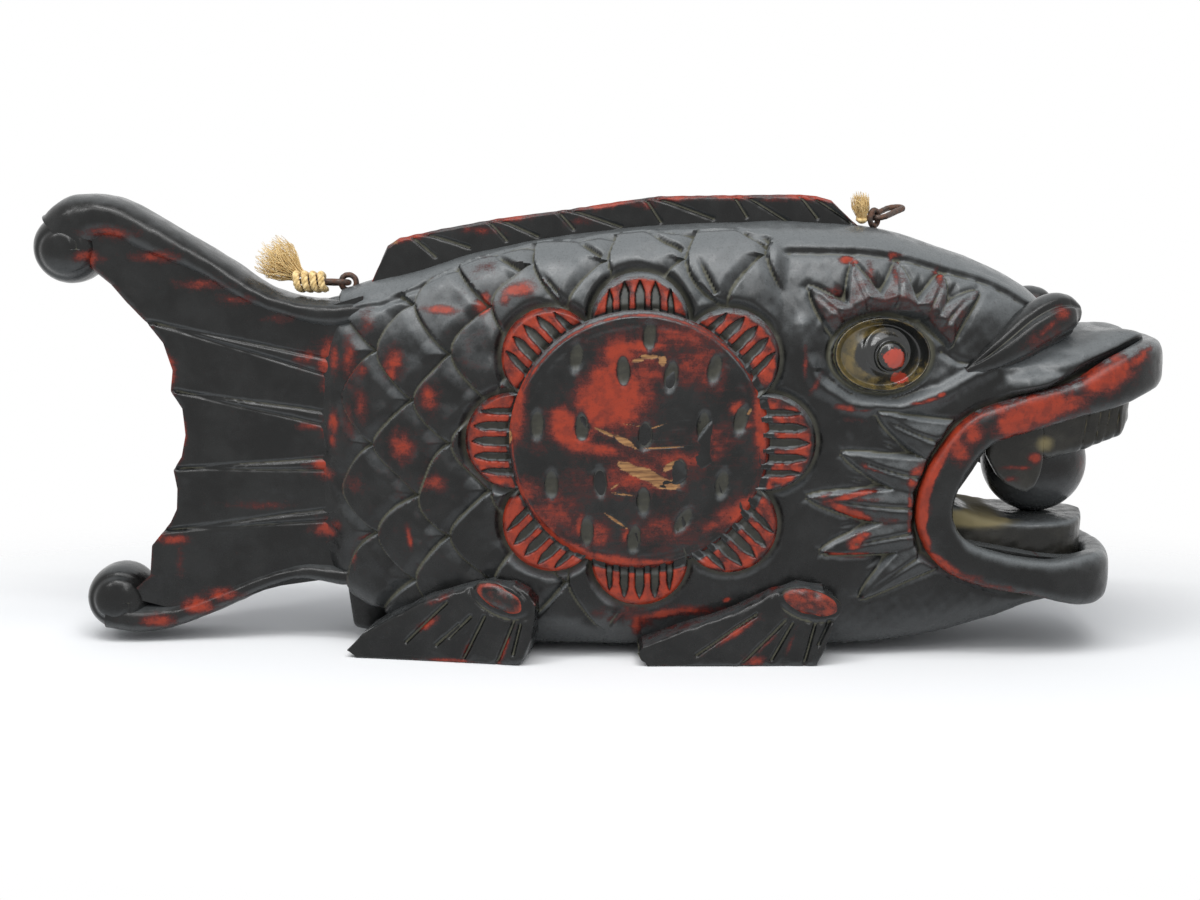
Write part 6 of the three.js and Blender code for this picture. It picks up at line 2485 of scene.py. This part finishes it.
@dataclass
class Dowels:
    """Hidden wooden pegs between the fins and the trunk."""

    def make(self, shop: Shop) -> None:
        """Make a turned peg in the box of each packed peg.

        Args:
            shop: finishes and seats the pieces.
        """
        names = [f"dorsal_fin_peg_{i}" for i in (1, 2)]
        fins = [f"{fin.name}_fin_{side.label}" for fin in (PECTORAL, PELVIC) for side in Side]
        names += [f"{fin}_peg_{i}" for fin in fins for i in (1, 2)]
        for name in names:
            low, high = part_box(name)
            size, middle = high - low, (low + high) / 2.0
            axis = max(range(3), key=lambda i: size[i])
            radius = min(size) / 2.0
            deselect()
            bpy.ops.mesh.primitive_cylinder_add(vertices=40, radius=radius, depth=size[axis])
            peg = bpy.context.object
            peg.name = f"{name}_dowel"
            if axis == 1:
                peg.data.transform(Matrix.Rotation(math.pi / 2.0, 4, "X"))
            peg.data.transform(Matrix.Translation(middle))
            rim = peg.modifiers.new("rim", "BEVEL")
            rim.width = 0.5 * MM
            rim.segments = 3
            rim.limit_method = "ANGLE"
            apply_all(peg)
            shop.fit(peg, Finish.WOOD, name)


# Iron and rope


@dataclass
class Staple:
    """Iron ring on a shank driven into the back."""

    name: str
    x: float
    rise: float
    turn: float
    form: TrunkForm = TrunkForm()
    wire: float = 1.5
    hole: float = 2.5
    shank: float = 1.6
    depth: float = 24.0

    @property
    def height(self) -> float:
        """Height of the ring's middle."""
        return float(self.form.ridge(np.array([self.x]))[0]) + self.rise

    def make(self, shop: Shop) -> None:
        """Make the ring and its shank.

        Args:
            shop: finishes and seats the pieces.
        """
        turn = full_turn(72)[:-1]
        reach = self.hole + self.wire
        facing = math.radians(self.turn)
        across = reach * np.cos(turn)
        line = rows_of(self.x + across * math.cos(facing), across * math.sin(facing),
                       self.height + reach * np.sin(turn))
        hoop = tube_rows(line, self.wire - 0.05, 24, closed=True)
        hoop = raised(hoop, 0.06 * Ripple(111, 3.0).at(*np.moveaxis(hoop, -1, 0)))
        shop.shape(f"{self.name}_ring", hoop, Finish.IRON, self.name)
        top = self.height - reach
        base = top + self.wire - self.rise - self.depth
        stem_line = rows_of(self.x, 0.0, np.linspace(base, top, 40))
        stem = tube_rows(stem_line, self.shank - 0.05, 24)
        shop.shape(f"{self.name}_shank", stem, Finish.IRON, self.name)


@dataclass
class Link:
    """Long iron link that hangs in a ring."""

    name: str
    body: str
    staple: Staple
    pitch: float
    roll: float
    heading: float
    wire: float = 1.6
    length: float = 28.0
    width: float = 12.4

    @property
    def place(self) -> Matrix:
        """Placement of the link: +X along it from the ring, +Y across it.

        Returns:
            The placement.
        """
        start = Matrix.Translation(Vector((self.staple.x, 0.0, self.staple.height)))
        turns = Matrix.Rotation(math.radians(self.heading), 4, "Z")
        turns = turns @ Matrix.Rotation(math.radians(-self.pitch), 4, "Y")
        return start @ turns @ Matrix.Rotation(math.radians(self.roll), 4, "X")

    def placed(self, rows: Array) -> Array:
        """Points carried from the link's own directions to the fish's."""
        held = np.array(self.place)
        return rows @ held[:3, :3].T + held[:3, 3]

    def make(self, shop: Shop) -> None:
        """Make the link.

        Args:
            shop: finishes and seats the pieces.
        """
        bend = (self.width - 2.0 * self.wire) / 2.0
        reach = self.length - 2.0 * self.wire - 2.0 * bend
        half = np.linspace(math.pi / 2.0, 1.5 * math.pi, 25)
        rear = np.stack([bend + bend * np.cos(half), bend * np.sin(half)], axis=1)
        front = np.stack([bend + reach - bend * np.cos(half), -bend * np.sin(half)], axis=1)
        legs = np.linspace(0.0, 1.0, 22)[1:-1, None]
        flat = np.concatenate([rear, rear[-1:] + (front[:1] - rear[-1:]) * legs, front,
                               front[-1:] + (rear[:1] - front[-1:]) * legs])
        line = np.column_stack([flat, np.zeros(len(flat))])
        rows = tube_rows(line, self.wire - 0.05, 24, closed=True)
        rows = raised(rows, 0.07 * Ripple(112, 4.0).at(*np.moveaxis(rows, -1, 0)) - 0.03)
        shop.shape(f"{self.name}_wire", self.placed(rows), Finish.IRON, self.name, self.body)


@dataclass
class Tuft:
    """Frayed end of a rope: many loose fibres that flare from a bound neck."""

    name: str
    seed: int
    fibres: int
    length: float
    neck: float
    flare: float

    def make(self, place: Callable[[Array], Array]) -> bpy.types.Object:
        """Make the tuft.

        Args:
            place: carries points from the tuft's own directions, +X along it, to the fish's.

        Returns:
            One piece with every fibre.
        """
        draw = np.random.default_rng(self.seed)
        pieces = []
        for _ in range(self.fibres):
            turn, out = draw.uniform(0.0, FULL_TURN), math.sqrt(draw.uniform(0.0, 1.0))
            reach = self.length * draw.uniform(0.62, 1.0) * (1.0 - 0.2 * out)
            t = np.linspace(0.0, 1.0, 9)
            spread = out * (self.neck * (1.0 - t) + self.flare * np.sin(t * 1.5) ** 1.3)
            swing = turn + draw.normal(0.0, 0.5) * t**2
            curl = draw.normal(0.0, self.flare * 0.12, 2)
            line = rows_of(reach * t - 1.5, spread * np.cos(swing) + curl[0] * np.sin(3.0 * t) * t,
                           spread * np.sin(swing) + curl[1] * np.sin(4.0 * t) * t)
            limit = self.flare / np.maximum(np.hypot(line[:, 1], line[:, 2]), self.flare)
            line[:, 1:] *= limit[:, None]
            radius = draw.uniform(0.13, 0.26) * (1.0 - 0.55 * t)
            pieces.append(tube_rows(line, radius, 5)[:, :-1])
        rows, sides = pieces[0].shape[:2]
        points = np.concatenate([p.reshape(-1, 3) for p in pieces])
        index = np.arange(rows * sides).reshape(rows, sides)
        here, beside = index[:-1], np.roll(index, -1, axis=1)[:-1]
        ahead, across = index[1:], np.roll(index, -1, axis=1)[1:]
        quads = np.stack([here, beside, across, ahead], axis=-1).reshape(-1, 4)
        starts = np.arange(len(pieces)) * rows * sides
        faces = [face for start in starts for face in (quads + start).tolist()]
        faces += [(index[0][::-1] + start).tolist() for start in starts]
        faces += [(index[-1] + start).tolist() for start in starts]
        mesh = bpy.data.meshes.new(self.name)
        mesh.from_pydata((place(points) * MM).tolist(), [], faces)
        piece = bpy.data.objects.new(self.name, mesh)
        bpy.context.scene.collection.objects.link(piece)
        pick(piece)
        bpy.ops.object.mode_set(mode="EDIT")
        bpy.ops.mesh.select_all(action="SELECT")
        bpy.ops.mesh.normals_make_consistent(inside=False)
        bpy.ops.object.mode_set(mode="OBJECT")
        tone = np.repeat(draw.uniform(0.0, 1.0, self.fibres), rows * sides)
        mask = mesh.attributes.new("fibre", "FLOAT", "POINT")
        mask.data.foreach_set("value", tone.astype(np.float32))
        return piece


def fibre_painter(seed: int) -> Painter:
    """A painter that shades rope from place to place."""
    return lambda place, sharp: {"fibre": 0.45 + 0.3 * Ripple(seed, 3.0).at(*place.T)}


@dataclass
class RearRope:
    """Rope wound round both legs of the rear link, with its frayed end above."""

    link: Link
    radius: float = 1.9
    loops: float = 3.5
    pitch: float = 4.3
    from_end: float = 8.5
    squareness: float = 0.6
    gap: float = 0.3
    strand: float = 0.97
    lay_radius: float = 0.88
    lay_turns: float = 22.0
    tuft: tuple[float, float, float, float] = (27.0, 3.6, 11.3, 36.0)

    def line(self) -> Array:
        """Middle line of the winding in the link's own directions.

        Returns:
            Points of the line.
        """
        turned = np.linspace(0.0, self.loops, 200)
        angle = FULL_TURN * turned - math.pi / 2.0
        across = self.link.width / 2.0 + self.gap + self.radius
        deep = self.link.wire + self.gap + self.radius
        x = self.link.length - self.from_end + self.pitch * (turned - self.loops / 2.0)
        return rows_of(x, squarer(np.cos(angle), self.squareness) * across,
                       squarer(np.sin(angle), self.squareness) * deep)

    def make(self, shop: Shop) -> None:
        """Make the strands of the winding and the tuft.

        Args:
            shop: finishes and seats the pieces.
        """
        held = spline(self.line()[::4], 420)
        side, up = frames_along(held, False)
        lay = np.linspace(0.0, FULL_TURN * self.lay_turns, len(held))
        for strand in range(3):
            angle = lay + strand * FULL_TURN / 3.0
            line = held + self.lay_radius * (np.cos(angle)[:, None] * side + np.sin(angle)[:, None] * up)
            rows = self.link.placed(tube_rows(line, self.strand, 14))
            shop.shape(f"rear_rope_strand_{strand + 1}", rows, Finish.HEMP, "rear_rope_end", self.link.body,
                       fibre_painter(121))
        length, neck, flare, pitch = self.tuft
        end = self.line()[-1]

        def place(points: Array) -> Array:
            """Carry the tuft to the end of the winding.

            Args:
                points: points of the tuft.

            Returns:
                The same points in the frame.
            """
            x, y, z = np.moveaxis(points, -1, 0)
            ahead, up = offsets(x, z, (0.0, 0.0), -pitch)
            return self.link.placed(rows_of(ahead, y, up) + end)

        piece = Tuft("rear_tuft", 5, 430, length, neck, flare).make(place)
        shop.fit(piece, Finish.HEMP, "rear_rope_end", self.link.body)


@dataclass
class FrontRope:
    """Short rope end knotted behind the front ring."""

    staple: Staple
    tuft: tuple[float, float, float, float] = (17.0, 3.0, 6.4, 98.0)
    knot: float = 3.1
    strand: float = 1.05
    loops: tuple[Point, ...] = ((0.2, 2.1), (1.2, 2.0), (-0.9, 1.9))

    def make(self, shop: Shop) -> None:
        """Make the knot and the tuft.

        Args:
            shop: finishes and seats the pieces.
        """
        low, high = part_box("front_rope_end")
        middle = np.array([(low.x + high.x) / 2.0, (low.y + high.y) / 2.0, 0.0]) / MM
        foot = np.array([middle[0] + 0.4, middle[1], low.z / MM + self.knot + 0.2])
        turn = full_turn(60)[:-1]
        for number, (tilt, size) in enumerate(self.loops):
            ring = rows_of(size * np.cos(turn), size * np.sin(turn) * math.cos(tilt),
                           0.7 * number - 0.7 + size * np.sin(turn) * math.sin(tilt))
            rows = tube_rows(foot + ring, self.strand, 12, closed=True)
            shop.shape(f"front_rope_knot_{number + 1}", rows, Finish.HEMP, "front_rope_end",
                       paint=fibre_painter(122))
        length, neck, flare, pitch = self.tuft
        reach = high.z / MM - foot[2]

        def place(points: Array) -> Array:
            """Stand the tuft on the knot.

            Args:
                points: points of the tuft.

            Returns:
                The same points in the frame.
            """
            x, y, z = np.moveaxis(points, -1, 0)
            ahead, up = offsets(reach / length * x, z, (0.0, 0.0), -pitch)
            return rows_of(ahead, y, up) * (0.92, 1.0, 0.98) + foot

        piece = Tuft("front_tuft", 6, 240, length, neck * 0.6, flare * 0.82).make(place)
        shop.fit(piece, Finish.HEMP, "front_rope_end")


# Floor, light and camera


@dataclass(frozen=True)
class Lamp:
    """A soft square light: its place and size in metres and its power in watts."""

    name: str
    place: Place
    wide: float
    tall: float
    power: float

    def make(self, target: Place) -> None:
        """Hang the lamp so that it faces a place.

        Args:
            target: the place it faces.
        """
        data = bpy.data.lights.new(self.name, "AREA")
        data.shape = "RECTANGLE"
        data.size = self.wide
        data.size_y = self.tall
        data.energy = self.power
        stood(self.name, data, self.place, target)


def stood(name: str, data: bpy.types.ID, place: Place, target: Place) -> bpy.types.Object:
    """A lamp or camera stood in the scene and faced to a place.

    Args:
        name: name of the object.
        data: the lamp's or camera's own data.
        place: where it stands, in metres.
        target: where it looks, in metres.

    Returns:
        The new object.
    """
    thing = bpy.data.objects.new(name, data)
    bpy.context.scene.collection.objects.link(thing)
    thing.location = place
    thing.rotation_euler = (Vector(target) - Vector(place)).to_track_quat("-Z", "Y").to_euler()
    return thing


@dataclass
class Studio:
    """White room of the photograph."""

    camera: Place = (0.0, -0.8748, 0.2473)
    target: Place = (0.0, 0.0, 0.1009)
    lens: float = 50.0
    sensor: float = 36.0
    floor_reach: float = 6.0
    paper: Colour = (0.93, 0.94, 0.95, 1.0)
    fade: Point = (0.20, 0.52)
    daylight: Colour = (0.95, 0.97, 1.0, 1.0)
    room: float = 0.5
    lamps: tuple[Lamp, ...] = (
        Lamp("ceiling", (0.0, -0.45, 1.15), 1.3, 0.7, 6.8),
        Lamp("strip", (-0.1, -0.42, 1.10), 0.9, 0.10, 3.0),
        Lamp("front", (0.25, -0.80, 0.90), 0.12, 0.5, 1.5),
        Lamp("window", (-0.9, -0.7, 1.1), 0.22, 0.4, 2.6),
    )

    def floor(self) -> None:
        """Pale floor under the fish, which runs out into the white behind for the camera."""
        deselect()
        bpy.ops.mesh.primitive_plane_add(size=2.0 * self.floor_reach)
        ground = bpy.context.object
        ground.name = "floor"
        g = Graph(bpy.data.materials.new("floor_paper"))
        place = g.add("Mapping", {"Vector": g.place(), "Scale": (0.8, 1.5, 1.0)})
        away = g.add("VectorMath", {0: place.outputs["Vector"]}, operation="LENGTH").outputs["Value"]
        paper = g.add("BsdfPrincipled", {
            "Base Color": self.paper, "Roughness": 0.9, "Specular IOR Level": 0.2,
        })
        share = g.times(g.ramp(away, *self.fade), g.seen())
        mixed = g.add("MixShader", {0: share, 1: paper.outputs[0], 2: g.add("BsdfTransparent").outputs[0]})
        g.add("OutputMaterial", {"Surface": mixed.outputs[0]})
        ground.data.materials.append(g.owner)

    def sky(self) -> None:
        """White all round for what is seen and mirrored, a little dimmer as light."""
        world = bpy.data.worlds.new("room")
        bpy.context.scene.world = world
        g = Graph(world)
        lit = g.add("Background", {"Color": self.daylight, "Strength": self.room})
        shown = g.add("Background", {"Color": (1.0, 1.0, 1.0, 1.0), "Strength": 1.0})
        mixed = g.add("MixShader", {0: g.seen(), 1: lit.outputs[0], 2: shown.outputs[0]})
        g.add("OutputWorld", {"Surface": mixed.outputs[0]})

    def make(self) -> None:
        """Set up the floor, the lights and the camera."""
        self.floor()
        self.sky()
        for lamp in self.lamps:
            lamp.make(self.target)
        data = bpy.data.cameras.new("camera")
        data.lens = self.lens
        data.sensor_width = self.sensor
        bpy.context.scene.camera = stood("camera", data, self.camera, self.target)
        bpy.context.scene.view_settings.view_transform = "Standard"


def main() -> None:
    """Build the whole scene."""
    logging.basicConfig(level=logging.INFO, format="%(name)s: %(message)s")
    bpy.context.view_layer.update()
    shop = Shop(finish_materials())
    Studio().make()
    rear_staple = Staple("rear_staple", -131.5, 4.8, 0.0)
    front_staple = Staple("front_staple", 142.5, 6.6, 50.0)
    rear_link = Link("rear_link", "rear_hanger", rear_staple, 1.0, 8.0, 180.0)
    front_link = Link("front_link", "front_hanger", front_staple, 12.0, 0.0, 50.0)
    fins = [StandingFin(sizes, side) for sizes in (PECTORAL, PELVIC) for side in Side]
    for assembly in (Trunk(), Medallion(), Eye(), Jaws(), Nostrils(), MouthBall(), Tail(), DorsalFin(), *fins,
                     Dowels(), rear_staple, front_staple, rear_link, front_link, RearRope(rear_link),
                     FrontRope(front_staple)):
        assembly.make(shop)
    LOG.info("%d pieces", len(shop.made))


if __name__ == "__main__":
    main()
